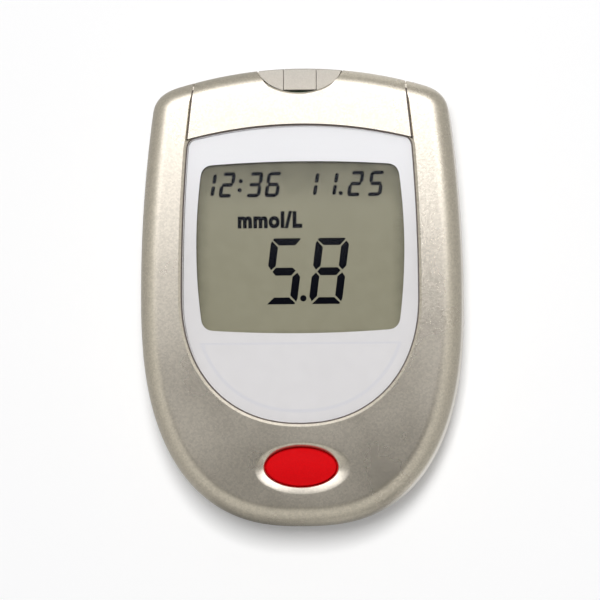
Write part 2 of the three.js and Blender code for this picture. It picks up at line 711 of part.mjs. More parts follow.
// Display
function displayLens() {
  const top = (y) => faceHeight(y) - LENS_SINK;
  const rings = [
    ring(LENS_OUTLINE, 0, () => LENS_BASE),
    ring(LENS_OUTLINE, 0, (y) => top(y) - LENS_EDGE_ROUND),
    ring(LENS_OUTLINE, LENS_EDGE_ROUND, top),
  ];
  rings.push(...capRings(rings[rings.length - 1], top));
  return loft(rings);
}

function lensMask() {
  const low = SEAT_TOP + FILM_GAP / 2;
  const film = prism(drawnIn(LENS_OUTLINE, LENS_EDGE_ROUND), low, low + MASK_THICKNESS);
  return film.subtract(prism(WINDOW_OUTLINE, 0, CASE_THICKNESS));
}

function lcdPanel() {
  return slab(-PANEL_WIDTH / 2, PANEL_WIDTH / 2, PANEL_FOOT_Y, PANEL_HEAD_Y, PANEL_BASE, PANEL_TOP);
}

function lcdReflector() {
  const high = PANEL_BASE - FILM_GAP;
  const near = PANEL_FOOT_Y + CONTACT_LEDGE;
  const far = PANEL_HEAD_Y - CONTACT_LEDGE;
  return slab(-PANEL_WIDTH / 2, PANEL_WIDTH / 2, near, far, high - REFLECTOR_THICKNESS, high);
}

function zebraY(side) {
  return WINDOW_CENTRE_Y + side * (PANEL_LENGTH / 2 - CONTACT_LEDGE / 2);
}

function zebraStrip(side) {
  const y = zebraY(side);
  const halfX = ZEBRA_LENGTH / 2;
  const halfY = ZEBRA_WIDTH / 2;
  return slab(-halfX, halfX, y - halfY, y + halfY, BOARD_TOP + FILM_GAP, PANEL_BASE - FILM_GAP);
}

function holderLegPlaces() {
  const half = PANEL_WIDTH / 2 + FIT + HOLDER_WALL - HOLDER_LEG_THICKNESS / 2;
  const reach = (PANEL_LENGTH / 2) * HOLDER_LEG_SHARE;
  return mirroredPlaces(half, [WINDOW_CENTRE_Y - reach, WINDOW_CENTRE_Y + reach]);
}

function holderLeg(x, y, spare, low, high) {
  const halfX = HOLDER_LEG_THICKNESS / 2 + spare;
  const halfY = HOLDER_LEG_WIDTH / 2 + spare;
  return slab(x - halfX, x + halfX, y - halfY, y + halfY, low, high);
}

function lcdHolder() {
  const pocketX = PANEL_WIDTH / 2 + FIT;
  const pocketY = PANEL_LENGTH / 2 + FIT;
  const base = BOARD_TOP + FILM_GAP;
  const shelfTop = PANEL_BASE - 2 * FILM_GAP - REFLECTOR_THICKNESS;
  const centre = WINDOW_CENTRE_Y;
  const outer = slab(
    -pocketX - HOLDER_WALL,
    pocketX + HOLDER_WALL,
    centre - pocketY - HOLDER_WALL,
    centre + pocketY + HOLDER_WALL,
    base,
    PANEL_TOP,
  );
  const pocket = slab(-pocketX, pocketX, centre - pocketY, centre + pocketY, shelfTop, PANEL_TOP + OVERRUN);
  const openX = pocketX - HOLDER_SHELF;
  const openY = pocketY - HOLDER_SHELF;
  const opening = slab(-openX, openX, centre - openY, centre + openY, 0, PANEL_TOP);
  const slots = [-1, 1].map((side) => {
    const y = zebraY(side);
    const half = ZEBRA_WIDTH / 2 + FIT / 2;
    const reach = ZEBRA_LENGTH / 2 + FIT;
    return slab(-reach, reach, y - half, y + half, 0, PANEL_TOP);
  });
  const legLow = BOARD_BASE - HOLDER_LEG_LENGTH;
  const legs = holderLegPlaces().map(([x, y]) => holderLeg(x, y, 0, legLow, base + FILM_GAP));
  return joined([outer.subtract(joined([pocket, opening, ...slots])), ...legs]);
}

// Circuit board and what it carries
function circuitBoard() {
  const plate = prism(drawnIn(CASE_OUTLINE, BOARD_MARGIN), BOARD_BASE, BOARD_TOP);
  const notches = CASE_SCREW_PLACES.map(([x, y]) => rod(x, y, POST_RADIUS + FIT, 0, CASE_THICKNESS));
  const corners = CASE_SCREW_PLACES.map(([x, y]) => {
    const outward = x + Math.sign(x) * CASE_WIDTH;
    const half = POST_RADIUS + FIT;
    return slab(Math.min(x, outward), Math.max(x, outward), y - half, y + half, 0, CASE_THICKNESS);
  });
  const holeRadius = BOARD_SCREW_SHANK_RADIUS + SHANK_FIT;
  const holes = BOARD_SCREW_PLACES.map(([x, y]) => rod(x, y, holeRadius, 0, CASE_THICKNESS));
  const slots = holderLegPlaces().map(([x, y]) => holderLeg(x, y, FIT / 2, 0, CASE_THICKNESS));
  return plate.subtract(joined([...notches, ...corners, ...holes, ...slots]));
}

function pinX(index) {
  return (index - (PIN_COUNT - 1) / 2) * PIN_PITCH;
}

function stripConnector() {
  const half = CONNECTOR_WIDTH / 2;
  const high = STRIP_SLOT_TOP + CONNECTOR_ROOF;
  const body = slab(-half, half, CONNECTOR_NEAR_Y, CONNECTOR_FAR_Y, BOARD_TOP + FILM_GAP, high);
  const slotHalf = STRIP_WIDTH / 2 + FIT;
  const slotNear = CONNECTOR_NEAR_Y + CONNECTOR_ROOF;
  const slotFar = CONNECTOR_FAR_Y + OVERRUN;
  const slot = slab(-slotHalf, slotHalf, slotNear, slotFar, STRIP_SLOT_BASE, STRIP_SLOT_TOP);
  const grooves = Array.from({ length: PIN_COUNT }, (unused, index) => {
    const x = pinX(index);
    const reach = PIN_WIDTH / 2 + FILM_GAP;
    const low = STRIP_SLOT_BASE - PIN_THICKNESS - 2 * FIT;
    const far = CONNECTOR_FAR_Y - CONNECTOR_ROOF;
    return slab(x - reach, x + reach, CONNECTOR_NEAR_Y - OVERRUN, far, low, STRIP_SLOT_BASE + FILM_GAP);
  });
  return body.subtract(joined([slot, ...grooves]));
}

// A spring pin: a foot on the board, up behind the connector and forward to a bent tip.
function stripPin(index) {
  const x = pinX(index);
  const back = CONNECTOR_NEAR_Y - FIT;
  const floor = STRIP_SLOT_BASE - PIN_THICKNESS - FIT;
  const tip = CONNECTOR_FAR_Y - CONNECTOR_ROOF - FIT;
  const bump = STRIP_SLOT_BASE - PIN_THICKNESS;
  const path = [
    new THREE.Vector2(back - PIN_FOOT_LENGTH, BOARD_TOP + FILM_GAP),
    new THREE.Vector2(back, BOARD_TOP + FILM_GAP),
    new THREE.Vector2(back, floor),
    new THREE.Vector2(tip - 2 * PIN_FOOT_LENGTH, floor),
    new THREE.Vector2(tip - PIN_FOOT_LENGTH, bump),
    new THREE.Vector2(tip, floor),
  ];
  return bentSheet(path, PIN_THICKNESS, x - PIN_WIDTH / 2, x + PIN_WIDTH / 2);
}

function controllerChip() {
  const half = CHIP_SIDE / 2;
  const high = BOARD_BASE - FILM_GAP;
  return slab(CHIP_X - half, CHIP_X + half, CHIP_Y - half, CHIP_Y + half, high - CHIP_THICKNESS, high);
}

function clockCrystal() {
  const high = BOARD_BASE - FILM_GAP;
  const halfX = CRYSTAL_LENGTH / 2;
  const halfY = CRYSTAL_WIDTH / 2;
  const low = high - CRYSTAL_THICKNESS;
  return slab(CRYSTAL_X - halfX, CRYSTAL_X + halfX, CRYSTAL_Y - halfY, CRYSTAL_Y + halfY, low, high);
}

function beeper() {
  const high = BOARD_BASE - FILM_GAP;
  const low = high - BEEPER_THICKNESS;
  const can = rod(BEEPER_X, BEEPER_Y, BEEPER_RADIUS, low, high);
  const mouth = rod(BEEPER_X, BEEPER_Y, SOUND_HOLE_RADIUS, low - OVERRUN, low + BEEPER_THICKNESS / 2);
  return can.subtract(mouth);
}

// A tact switch body at a place, with the well that its plunger runs in.
function tactBody(x, y, low, high, wellLow, wellHigh) {
  const half = SWITCH_SIDE / 2;
  const body = slab(x - half, x + half, y - half, y + half, low, high);
  return body.subtract(rod(x, y, PLUNGER_RADIUS + PLUNGER_FIT, wellLow, wellHigh));
}

function tactSwitch() {
  const low = BOARD_TOP + FILM_GAP;
  const high = low + SWITCH_THICKNESS;
  return tactBody(0, BUTTON_Y, low, high, high - BUTTON_TRAVEL - 2 * FIT, high + OVERRUN);
}

function tactPlunger() {
  const seat = BOARD_TOP + FILM_GAP + SWITCH_THICKNESS;
  return rod(0, BUTTON_Y, PLUNGER_RADIUS, seat - FIT / 2, seat + PLUNGER_PROUD);
}

// The cap's rings, from its flange up its side and over its dome.
function buttonCapRings(base) {
  const outline = ellipse(BUTTON_Y, BUTTON_HALF_WIDTH, BUTTON_HALF_LENGTH);
  const edge = BUTTON_FACE - BUTTON_EDGE_SINK;
  const rings = [ring(outline, 0, () => base), ring(outline, 0, () => edge - BUTTON_EDGE_ROUND)];
  const steps = EDGE_STEPS + 1;
  for (let step = 0; step < steps; step += 1) {
    const share = 1 - step / steps;
    const halfWidth = (BUTTON_HALF_WIDTH - BUTTON_EDGE_ROUND) * share;
    const halfLength = (BUTTON_HALF_LENGTH - BUTTON_EDGE_ROUND) * share;
    const height = edge + BUTTON_DOME * (1 - share ** 2);
    rings.push(ring(ellipse(BUTTON_Y, halfWidth, halfLength), 0, () => height));
  }
  return rings;
}

function mainButton() {
  const plungerTop = BOARD_TOP + FILM_GAP + SWITCH_THICKNESS + PLUNGER_PROUD;
  const flangeTop = COLLAR_BASE - FILM_GAP;
  const flangeBase = flangeTop - BUTTON_FLANGE_THICKNESS;
  const flangeHalfWidth = BUTTON_HALF_WIDTH + BUTTON_FLANGE;
  const flangeHalfLength = BUTTON_HALF_LENGTH + BUTTON_FLANGE;
  const flange = prism(ellipse(BUTTON_Y, flangeHalfWidth, flangeHalfLength), flangeBase, flangeTop);
  const stem = rod(0, BUTTON_Y, BUTTON_STEM_RADIUS, plungerTop + FILM_GAP, flangeTop);
  return joined([loft(buttonCapRings(flangeBase)), flange, stem]);
}

// Set button in the battery bay, pushed up through its guide
const SET_SWITCH_BASE = BOARD_BASE - FILM_GAP - SWITCH_THICKNESS;
const SET_PLUNGER_BASE = SET_SWITCH_BASE - PLUNGER_PROUD;
const SET_GUIDE_TOP = SET_PLUNGER_BASE - SET_GUIDE_DROP;
const SKIN_BASE = DOOR_THICKNESS + FIT;
const SKIN_TOP = SKIN_BASE + DOOR_SKIN;

function setSwitch() {
  const high = BOARD_BASE - FILM_GAP;
  const wellTop = SET_SWITCH_BASE + SET_TRAVEL + 2 * FIT;
  return tactBody(SET_X, SET_Y, SET_SWITCH_BASE, high, SET_SWITCH_BASE - OVERRUN, wellTop);
}

function setPlunger() {
  return rod(SET_X, SET_Y, PLUNGER_RADIUS, SET_PLUNGER_BASE, SET_SWITCH_BASE + FIT / 2);
}

function setButton() {
  const flangeBase = SKIN_TOP + FILM_GAP;
  const tip = rod(SET_X, SET_Y, SET_TIP_RADIUS, DOOR_THICKNESS + FIT, flangeBase + SET_FLANGE_THICKNESS);
  const flange = rod(SET_X, SET_Y, SET_FLANGE_RADIUS, flangeBase, flangeBase + SET_FLANGE_THICKNESS);
  const stem = rod(SET_X, SET_Y, SET_STEM_RADIUS, flangeBase, SET_PLUNGER_BASE - FILM_GAP);
  return joined([tip, flange, stem]);
}

// Cells and their contacts
function cellX(side) {
  return (side * CELL_SPACING) / 2;
}

// A cell along Y, its positive end at the given Y and its body running the other way.
function cell(side, positiveY, direction) {
  const radius = CELL_DIAMETER / 2;
  const bodyLength = CELL_LENGTH - CELL_NUB_LENGTH;
  const profile = [
    new THREE.Vector2(0, 0),
    new THREE.Vector2(radius - CELL_CHAMFER, 0),
    new THREE.Vector2(radius, CELL_CHAMFER),
    new THREE.Vector2(radius, bodyLength - CELL_CHAMFER),
    new THREE.Vector2(radius - CELL_CHAMFER, bodyLength),
    new THREE.Vector2(CELL_NUB_RADIUS, bodyLength),
    new THREE.Vector2(CELL_NUB_RADIUS, CELL_LENGTH),
    new THREE.Vector2(0, CELL_LENGTH),
  ];
  const geometry = new THREE.LatheGeometry(profile, ROUND_SIDES);
  if (direction < 0) {
    geometry.rotateZ(Math.PI);
  }
  geometry.translate(cellX(side), positiveY - direction * CELL_LENGTH, CELL_AXIS_HEIGHT);
  return solid(geometry);
}

const HEAD_PLATE_Y = BAY_HEAD_Y - FILM_GAP - PLATE_THICKNESS;
const FOOT_PLATE_Y = BAY_FOOT_Y + FILM_GAP + PLATE_THICKNESS;
const FIRST_CELL_POSITIVE_Y = HEAD_PLATE_Y - FILM_GAP;
const SECOND_CELL_POSITIVE_Y = FOOT_PLATE_Y + FILM_GAP;
const FIRST_CELL_NEGATIVE_Y = FIRST_CELL_POSITIVE_Y - CELL_LENGTH;
const SECOND_CELL_NEGATIVE_Y = SECOND_CELL_POSITIVE_Y + CELL_LENGTH;

function headPlate(side) {
  const x = cellX(side);
  const low = CELL_AXIS_HEIGHT - PLATE_HEIGHT / 2;
  const plate = slab(
    x - PLATE_WIDTH / 2,
    x + PLATE_WIDTH / 2,
    HEAD_PLATE_Y,
    HEAD_PLATE_Y + PLATE_THICKNESS,
    low,
    low + PLATE_HEIGHT,
  );
  const tab = slab(
    x - SOLDER_TAB_WIDTH / 2,
    x + SOLDER_TAB_WIDTH / 2,
    HEAD_PLATE_Y,
    HEAD_PLATE_Y + PLATE_THICKNESS,
    CELL_AXIS_HEIGHT,
    BOARD_BASE - FILM_GAP,
  );
  return plate.add(tab);
}

// A leaf spring from a plate to a cell's flat end and back to the plate's other edge.
function leaf(side, plateY, cellY) {
  const x = cellX(side);
  const inward = Math.sign(cellY - plateY);
  const reach = Math.abs(cellY - plateY) - FILM_GAP - PLATE_THICKNESS;
  const low = CELL_AXIS_HEIGHT - PLATE_HEIGHT / 2;
  const high = CELL_AXIS_HEIGHT + PLATE_HEIGHT / 2;
  const path = [
    new THREE.Vector2(plateY, high - PLATE_THICKNESS),
    new THREE.Vector2(plateY + inward * reach, CELL_AXIS_HEIGHT),
    new THREE.Vector2(plateY + (inward * reach) / 2, low + PLATE_THICKNESS),
  ];
  const ordered = inward > 0 ? path.reverse() : path;
  return bentSheet(ordered, -PLATE_THICKNESS, x - LEAF_WIDTH / 2, x + LEAF_WIDTH / 2);
}

function contactPositive() {
  return headPlate(-1);
}

function contactNegative() {
  return headPlate(1).add(leaf(1, HEAD_PLATE_Y + PLATE_THICKNESS / 2, SECOND_CELL_NEGATIVE_Y));
}

function contactBridge() {
  const half = CELL_SPACING / 2 + PLATE_WIDTH / 2;
  const low = CELL_AXIS_HEIGHT - PLATE_HEIGHT / 2;
  const near = FOOT_PLATE_Y - PLATE_THICKNESS;
  const plate = slab(-half, half, near, FOOT_PLATE_Y, low, low + PLATE_HEIGHT);
  return plate.add(leaf(-1, FOOT_PLATE_Y - PLATE_THICKNESS / 2, FIRST_CELL_NEGATIVE_Y));
}

// Battery door
function doorPlan(spare) {
  const half = DOOR_WIDTH / 2 + spare;
  const far = DOOR_HEAD_Y + spare;
  return slab(-half, half, -HALF_LENGTH - OVERRUN, far, -OVERRUN, DOOR_HEIGHT + spare);
}

function tonguePlaces() {
  const reach = DOOR_HEAD_Y + HALF_LENGTH;
  return TONGUE_Y_SHARES.map((share) => DOOR_HEAD_Y - TONGUE_LENGTH - share * reach);
}

// A tongue, or its groove where it is grown by a spare and drawn out by the door's travel.
function tongue(side, y, spare, reach, travel) {
  const inner = side * (DOOR_WIDTH / 2 - OVERRUN);
  const outer = side * (DOOR_WIDTH / 2 + reach);
  const left = Math.min(inner, outer);
  const right = Math.max(inner, outer);
  const low = TONGUE_HEIGHT - spare;
  const high = TONGUE_HEIGHT + TONGUE_THICKNESS + spare;
  return slab(left, right, y - travel - spare, y + TONGUE_LENGTH + spare, low, high);
}

function batteryDoor() {
  const skin = backForm(0, SEAM_HEIGHT).subtract(backForm(DOOR_THICKNESS, SEAM_HEIGHT + OVERRUN));
  const tongues = tonguePlaces().flatMap((y) => [-1, 1].map((side) => tongue(side, y, 0, TONGUE_REACH, 0)));
  const grips = Array.from({ length: GRIP_COUNT }, (unused, index) => {
    const y = GRIP_SET_BACK - HALF_LENGTH + index * GRIP_PITCH;
    return slab(-GRIP_LENGTH / 2, GRIP_LENGTH / 2, y, y + GRIP_WIDTH, -OVERRUN, GRIP_DEPTH);
  });
  return joined([skin.intersect(doorPlan(0)), ...tongues]).subtract(joined(grips));
}

// Rear housing
function backPosts() {
  const posts = CASE_SCREW_PLACES.map(([x, y]) => rod(x, y, POST_RADIUS, WALL / 2, POST_FOOT_TOP));
  return joined(posts).intersect(backForm(WALL / 2, SEAM_HEIGHT));
}

function screwHoles() {
  const holes = CASE_SCREW_PLACES.map(([x, y]) => {
    const sink = rod(x, y, CASE_SCREW_HEAD_RADIUS + SHANK_FIT, -OVERRUN, SCREW_HEAD_TOP + FILM_GAP);
    return sink.add(rod(x, y, CASE_SCREW_SHANK_RADIUS + SHANK_FIT, 0, SEAM_HEIGHT));
  });
  return joined(holes);
}

function soundHoles() {
  const holes = Array.from({ length: SOUND_HOLE_COUNT }, (unused, index) => {
    const angle = (2 * Math.PI * index) / SOUND_HOLE_COUNT;
    const x = BEEPER_X + SOUND_HOLE_RING * Math.cos(angle);
    const y = BEEPER_Y + SOUND_HOLE_RING * Math.sin(angle);
    return rod(x, y, SOUND_HOLE_RADIUS, -OVERRUN, WALL + OVERRUN);
  });
  return joined(holes);
}

function batteryTub() {
  const half = BAY_HALF_WIDTH + BAY_WALL;
  return slab(-half, half, BAY_FOOT_Y - BAY_WALL, BAY_HEAD_Y + BAY_WALL, SKIN_BASE, BAY_CEILING + BAY_ROOF);
}

function batteryHollow() {
  const hollow = slab(-BAY_HALF_WIDTH, BAY_HALF_WIDTH, BAY_FOOT_Y, BAY_HEAD_Y, 0, BAY_CEILING);
  const slots = [-1, 1].map((side) => {
    const x = cellX(side);
    const half = SOLDER_TAB_WIDTH / 2 + FIT / 2;
    return slab(x - half, x + half, HEAD_PLATE_Y - FIT / 2, BAY_HEAD_Y, BAY_CEILING - OVERRUN, BOARD_BASE);
  });
  return joined([hollow, ...slots]);
}

function setGuide() {
  const half = SET_FLANGE_RADIUS + FIT;
  const near = BAY_HEAD_Y + BAY_WALL / 2;
  const low = SET_GUIDE_TOP - SET_GUIDE_THICKNESS;
  return slab(SET_X - half, SET_X + half, near, SET_Y + half, low, SET_GUIDE_TOP);
}

function setHole() {
  const tip = rod(SET_X, SET_Y, SET_TIP_RADIUS + SHANK_FIT, 0, SKIN_TOP + OVERRUN);
  return tip.add(rod(SET_X, SET_Y, SET_STEM_RADIUS + SHANK_FIT, 0, SET_PLUNGER_BASE));
}

// The tongues' grooves run down the door's travel and open to the back at their far end.
function tongueGrooves() {
  const spare = FIT / 2;
  const grooves = tonguePlaces().flatMap((y) => [-1, 1].map((side) => {
    const groove = tongue(side, y, spare, TONGUE_REACH + spare, DOOR_TRAVEL);
    const inner = side * (DOOR_WIDTH / 2);
    const outer = side * (DOOR_WIDTH / 2 + TONGUE_REACH + spare);
    const left = Math.min(inner, outer);
    const right = Math.max(inner, outer);
    const near = y - DOOR_TRAVEL - spare;
    const exit = slab(left, right, near, near + TONGUE_LENGTH + FIT, -OVERRUN, TONGUE_HEIGHT);
    return groove.add(exit);
  }));
  return joined(grooves);
}

// The door's recess in the back, down to the skin behind the door.
function doorRecess() {
  return doorPlan(FIT).subtract(backForm(SKIN_BASE, SEAM_HEIGHT + OVERRUN));
}

function doorSkin() {
  const layer = backForm(WALL / 2, SEAM_HEIGHT).subtract(backForm(SKIN_TOP, SEAM_HEIGHT + OVERRUN));
  return layer.intersect(doorPlan(FIT + DOOR_SKIN));
}

// The raised rim that locates the front housing on the back.
function seamLip() {
  const low = BACK_TOP - WALL;
  const outer = prism(drawnIn(CASE_OUTLINE, LIP_INSET + FIT / 2), low, BACK_TOP + LIP_HEIGHT - FIT);
  return outer.subtract(prism(drawnIn(CASE_OUTLINE, WALL), low - OVERRUN, CASE_THICKNESS));
}

function rearHousing() {
  const shell = backForm(0, BACK_TOP).subtract(backForm(WALL, BACK_TOP + OVERRUN));
  return joined([shell, doorSkin()])
    .subtract(doorRecess())
    .add(joined([seamLip(), batteryTub(), backPosts(), setGuide()]))
    .subtract(joined([batteryHollow(), screwHoles(), soundHoles(), setHole(), tongueGrooves()]));
}

// Screws, head down
function screw(x, y, headBase, headRadius, headHeight, shankRadius, length) {
  const headTop = headBase + headHeight;
  const head = rod(x, y, headRadius, headBase, headTop);
  const shank = rod(x, y, shankRadius, headBase, headTop + length);
  const reach = headRadius * CROSS_SLOT_SHARE;
  const half = CROSS_SLOT_WIDTH / 2;
  const high = headBase + CROSS_SLOT_DEPTH;
  const along = slab(x - half, x + half, y - reach, y + reach, headBase - OVERRUN, high);
  const across = slab(x - reach, x + reach, y - half, y + half, headBase - OVERRUN, high);
  return head.add(shank).subtract(along.add(across));
}

function caseScrew([x, y]) {
  return screw(
    x,
    y,
    CASE_SCREW_SINK,
    CASE_SCREW_HEAD_RADIUS,
    CASE_SCREW_HEAD_HEIGHT,
    CASE_SCREW_SHANK_RADIUS,
    CASE_SCREW_LENGTH,
  );
}

function boardScrew([x, y]) {
  return screw(
    x,
    y,
    BOARD_BASE - FILM_GAP - BOARD_SCREW_HEAD_HEIGHT,
    BOARD_SCREW_HEAD_RADIUS,
    BOARD_SCREW_HEAD_HEIGHT,
    BOARD_SCREW_SHANK_RADIUS,
    BOARD_SCREW_LENGTH,
  );
}

// The whole meter
const meter = new THREE.Group();
meter.add(named("front_housing", frontHousing(), SILVER_PAINT));
meter.add(named("rear_housing", rearHousing(), SILVER_PAINT));
meter.add(named("top_cover", topCover(), SILVER_PAINT));
meter.add(named("port_insert", portInsert(), MATTE_BEIGE));
meter.add(named("strip_guide", stripGuide(), MATTE_BEIGE));
meter.add(named("display_lens", displayLens(), CLEAR_ACRYLIC));
meter.add(named("lens_mask", lensMask(), WHITE_FILM));
meter.add(named("lcd_panel", lcdPanel(), PANEL_GLASS));
meter.add(named("lcd_reflector", lcdReflector(), REFLECTOR_FILM));
meter.add(named("lcd_holder", lcdHolder(), WHITE_PLASTIC));
meter.add(named("zebra_strip_lower", zebraStrip(-1), GREY_RUBBER));
meter.add(named("zebra_strip_upper", zebraStrip(1), GREY_RUBBER));
meter.add(named("circuit_board", circuitBoard(), BOARD_GREEN));
meter.add(named("strip_connector", stripConnector(), BLACK_PLASTIC));
for (let index = 0; index < PIN_COUNT; index += 1) {
  meter.add(named(`strip_contact_${index + 1}`, stripPin(index), GOLD_METAL));
}
meter.add(named("controller_chip", controllerChip(), BLACK_PLASTIC));
meter.add(named("clock_crystal", clockCrystal(), TINNED_METAL));
meter.add(named("beeper", beeper(), BLACK_PLASTIC));
meter.add(named("main_switch", tactSwitch(), TINNED_METAL));
meter.add(named("main_plunger", tactPlunger(), BLACK_PLASTIC));
meter.add(named("main_button", mainButton(), RED_PLASTIC));
meter.add(named("set_switch", setSwitch(), TINNED_METAL));
meter.add(named("set_plunger", setPlunger(), BLACK_PLASTIC));
meter.add(named("set_button", setButton(), GREY_PLASTIC));
meter.add(named("battery_1", cell(-1, FIRST_CELL_POSITIVE_Y, 1), CELL_WRAP));
meter.add(named("battery_2", cell(1, SECOND_CELL_POSITIVE_Y, -1), CELL_WRAP));
meter.add(named("contact_positive", contactPositive(), TINNED_METAL));
meter.add(named("contact_negative", contactNegative(), TINNED_METAL));
meter.add(named("contact_bridge", contactBridge(), TINNED_METAL));
meter.add(named("battery_door", batteryDoor(), SILVER_PAINT));
CASE_SCREW_PLACES.forEach((place, index) => {
  meter.add(named(`case_screw_${index + 1}`, caseScrew(place), TINNED_METAL));
});
BOARD_SCREW_PLACES.forEach((place, index) => {
  meter.add(named(`board_screw_${index + 1}`, boardScrew(place), TINNED_METAL));
});

export default meter;
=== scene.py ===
"""The looks of a blood glucose meter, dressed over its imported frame.

The meter lies on its back: X runs across the face, Y towards the strip port and Z out of the display.
Shapes are worked out in millimetres and put into metres when each piece is handed over to its body.
"""

import logging
import math
from collections.abc import Callable, Iterable, Sequence
from dataclasses import dataclass, field
from enum import Enum

import bpy
import numpy as np
from mathutils import Euler, Matrix, Vector


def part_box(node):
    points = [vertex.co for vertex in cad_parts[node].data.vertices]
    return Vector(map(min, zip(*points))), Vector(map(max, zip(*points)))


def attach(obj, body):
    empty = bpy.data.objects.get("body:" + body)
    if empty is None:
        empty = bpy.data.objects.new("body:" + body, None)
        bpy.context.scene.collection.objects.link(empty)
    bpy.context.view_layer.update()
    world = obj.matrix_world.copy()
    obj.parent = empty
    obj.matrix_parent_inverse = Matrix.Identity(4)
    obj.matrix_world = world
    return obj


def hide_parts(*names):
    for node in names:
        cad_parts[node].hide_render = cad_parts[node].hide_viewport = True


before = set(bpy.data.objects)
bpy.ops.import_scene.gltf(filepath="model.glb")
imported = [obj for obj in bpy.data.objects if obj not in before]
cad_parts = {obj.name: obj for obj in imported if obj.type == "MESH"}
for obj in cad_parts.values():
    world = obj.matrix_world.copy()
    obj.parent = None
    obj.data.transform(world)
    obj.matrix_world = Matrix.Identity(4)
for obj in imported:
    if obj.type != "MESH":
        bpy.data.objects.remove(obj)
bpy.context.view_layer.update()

logging.basicConfig(level=logging.INFO, format="%(message)s")
LOG = logging.getLogger("meter")

MM = 0.001
OVER = 1.0  # how far a cutter runs past what it cuts
PAST_CASE = 30.0  # a height above the whole case, for what cuts right through
CORE_SHARE = 0.02  # how small the middle ring of a crowned form is

Colour = tuple[float, float, float]
Outline = np.ndarray
Ring = np.ndarray


class Body(Enum):
    """The bodies of the frame that a piece can ride on."""

    CASE = "case"
    BUTTON = "main_button"
    DOOR = "battery_door"
    SET_BUTTON = "set_button"


# Outlines, in millimetres


def curve(start: Sequence[float], pull: Sequence[float], end: Sequence[float], steps: int) -> Outline:
    """Works out a quadratic curve.

    Args:
        start: first point.
        pull: the point that both end tangents meet at.
        end: last point.
        steps: number of steps along it.

    Returns:
        The points from start to end.
    """
    share = np.linspace(0, 1, steps + 1)[:, None]
    a, b, c = (np.asarray(point, float) for point in (start, pull, end))
    return (1 - share) ** 2 * a + 2 * share * (1 - share) * b + share**2 * c


def evened(outline: Outline, count: int) -> Outline:
    """Spreads points evenly along a closed outline.

    Args:
        outline: the closed outline, without its first point repeated.
        count: number of points wanted.

    Returns:
        The evenly spaced outline, from the same first point.
    """
    closed = np.vstack([outline, outline[:1]])
    steps = np.hypot(*np.diff(closed, axis=0).T)
    along = np.concatenate([[0], np.cumsum(steps)])
    wanted = np.linspace(0, along[-1], count, endpoint=False)
    return np.column_stack([np.interp(wanted, along, closed[:, axis]) for axis in (0, 1)])


def drawn_in(outline: Outline, distance: float) -> Outline:
    """Draws an anticlockwise outline in by a distance, or out where it is negative.

    Args:
        outline: the closed outline.
        distance: how far in.

    Returns:
        The moved outline, point for point.
    """
    into = outline - np.roll(outline, 1, axis=0)
    out = np.roll(outline, -1, axis=0) - outline
    into /= np.hypot(*into.T)[:, None]
    out /= np.hypot(*out.T)[:, None]
    normal = np.column_stack([-into[:, 1] - out[:, 1], into[:, 0] + out[:, 0]])
    normal /= np.hypot(*normal.T)[:, None]
    spread = normal[:, 0] * -into[:, 1] + normal[:, 1] * into[:, 0]
    return unfolded(outline, outline + normal * (distance / spread)[:, None], distance)


def unfolded(outline: Outline, moved: Outline, distance: float, spare: int = 5) -> Outline:
    """Rounds the corners that fold over themselves when an outline is drawn in further than their radius.

    Args:
        outline: the outline before it was drawn in.
        moved: the outline after that, point for point.
        distance: how far in.
        spare: points taken into the new corner on each side of a fold.

    Returns:
        The outline without folds.
    """
    apart = np.sqrt(((moved[:, None, :] - outline[None, :, :]) ** 2).sum(axis=2)).min(axis=1)
    edge, moved_edge = np.roll(outline, -1, axis=0) - outline, np.roll(moved, -1, axis=0) - moved
    kept = (edge * moved_edge).sum(axis=1) / (edge**2).sum(axis=1)
    folded = np.flatnonzero((kept < 0.15) | (apart < distance - 0.01))
    if not len(folded):
        return moved
    result = moved.copy()
    for run in np.split(folded, np.flatnonzero(np.diff(folded) > 2 * spare + 1) + 1):
        first, last = run[0] - spare, run[-1] + spare
        start, end = moved[first], moved[last]
        before, after = start - moved[first - 1], moved[last + 1] - end
        across = before[0] * after[1] - before[1] * after[0]
        reach = ((end - start)[0] * after[1] - (end - start)[1] * after[0]) / across
        result[first : last + 1] = curve(start, start + before * reach, end, last - first)
    return result


def ellipse(centre_y: float, half_width: float, half_length: float, count: int = 144) -> Outline:
    """Works out an ellipse centred on the Y axis.

    Args:
        centre_y: its centre along Y.
        half_width: half its size along X.
        half_length: half its size along Y.
        count: number of points.

    Returns:
        The anticlockwise outline.
    """
    angle = np.linspace(0, 2 * math.pi, count, endpoint=False)
    return np.column_stack([half_width * np.cos(angle), centre_y + half_length * np.sin(angle)])


def capsule(start: Sequence[float], end: Sequence[float], radius: float, steps: int = 8) -> Outline:
    """Works out a bar with round ends.

    Args:
        start: centre of one end.
        end: centre of the other end.
        radius: half its width.
        steps: steps round each end.

    Returns:
        The anticlockwise outline.
    """
    a, b = np.asarray(start, float), np.asarray(end, float)
    turn = math.atan2(*(b - a)[::-1])
    half = np.linspace(-math.pi / 2, math.pi / 2, steps + 1)
    first = b + radius * np.column_stack([np.cos(turn + half), np.sin(turn + half)])
    second = a + radius * np.column_stack([np.cos(turn + half + math.pi), np.sin(turn + half + math.pi)])
    return np.vstack([first, second])


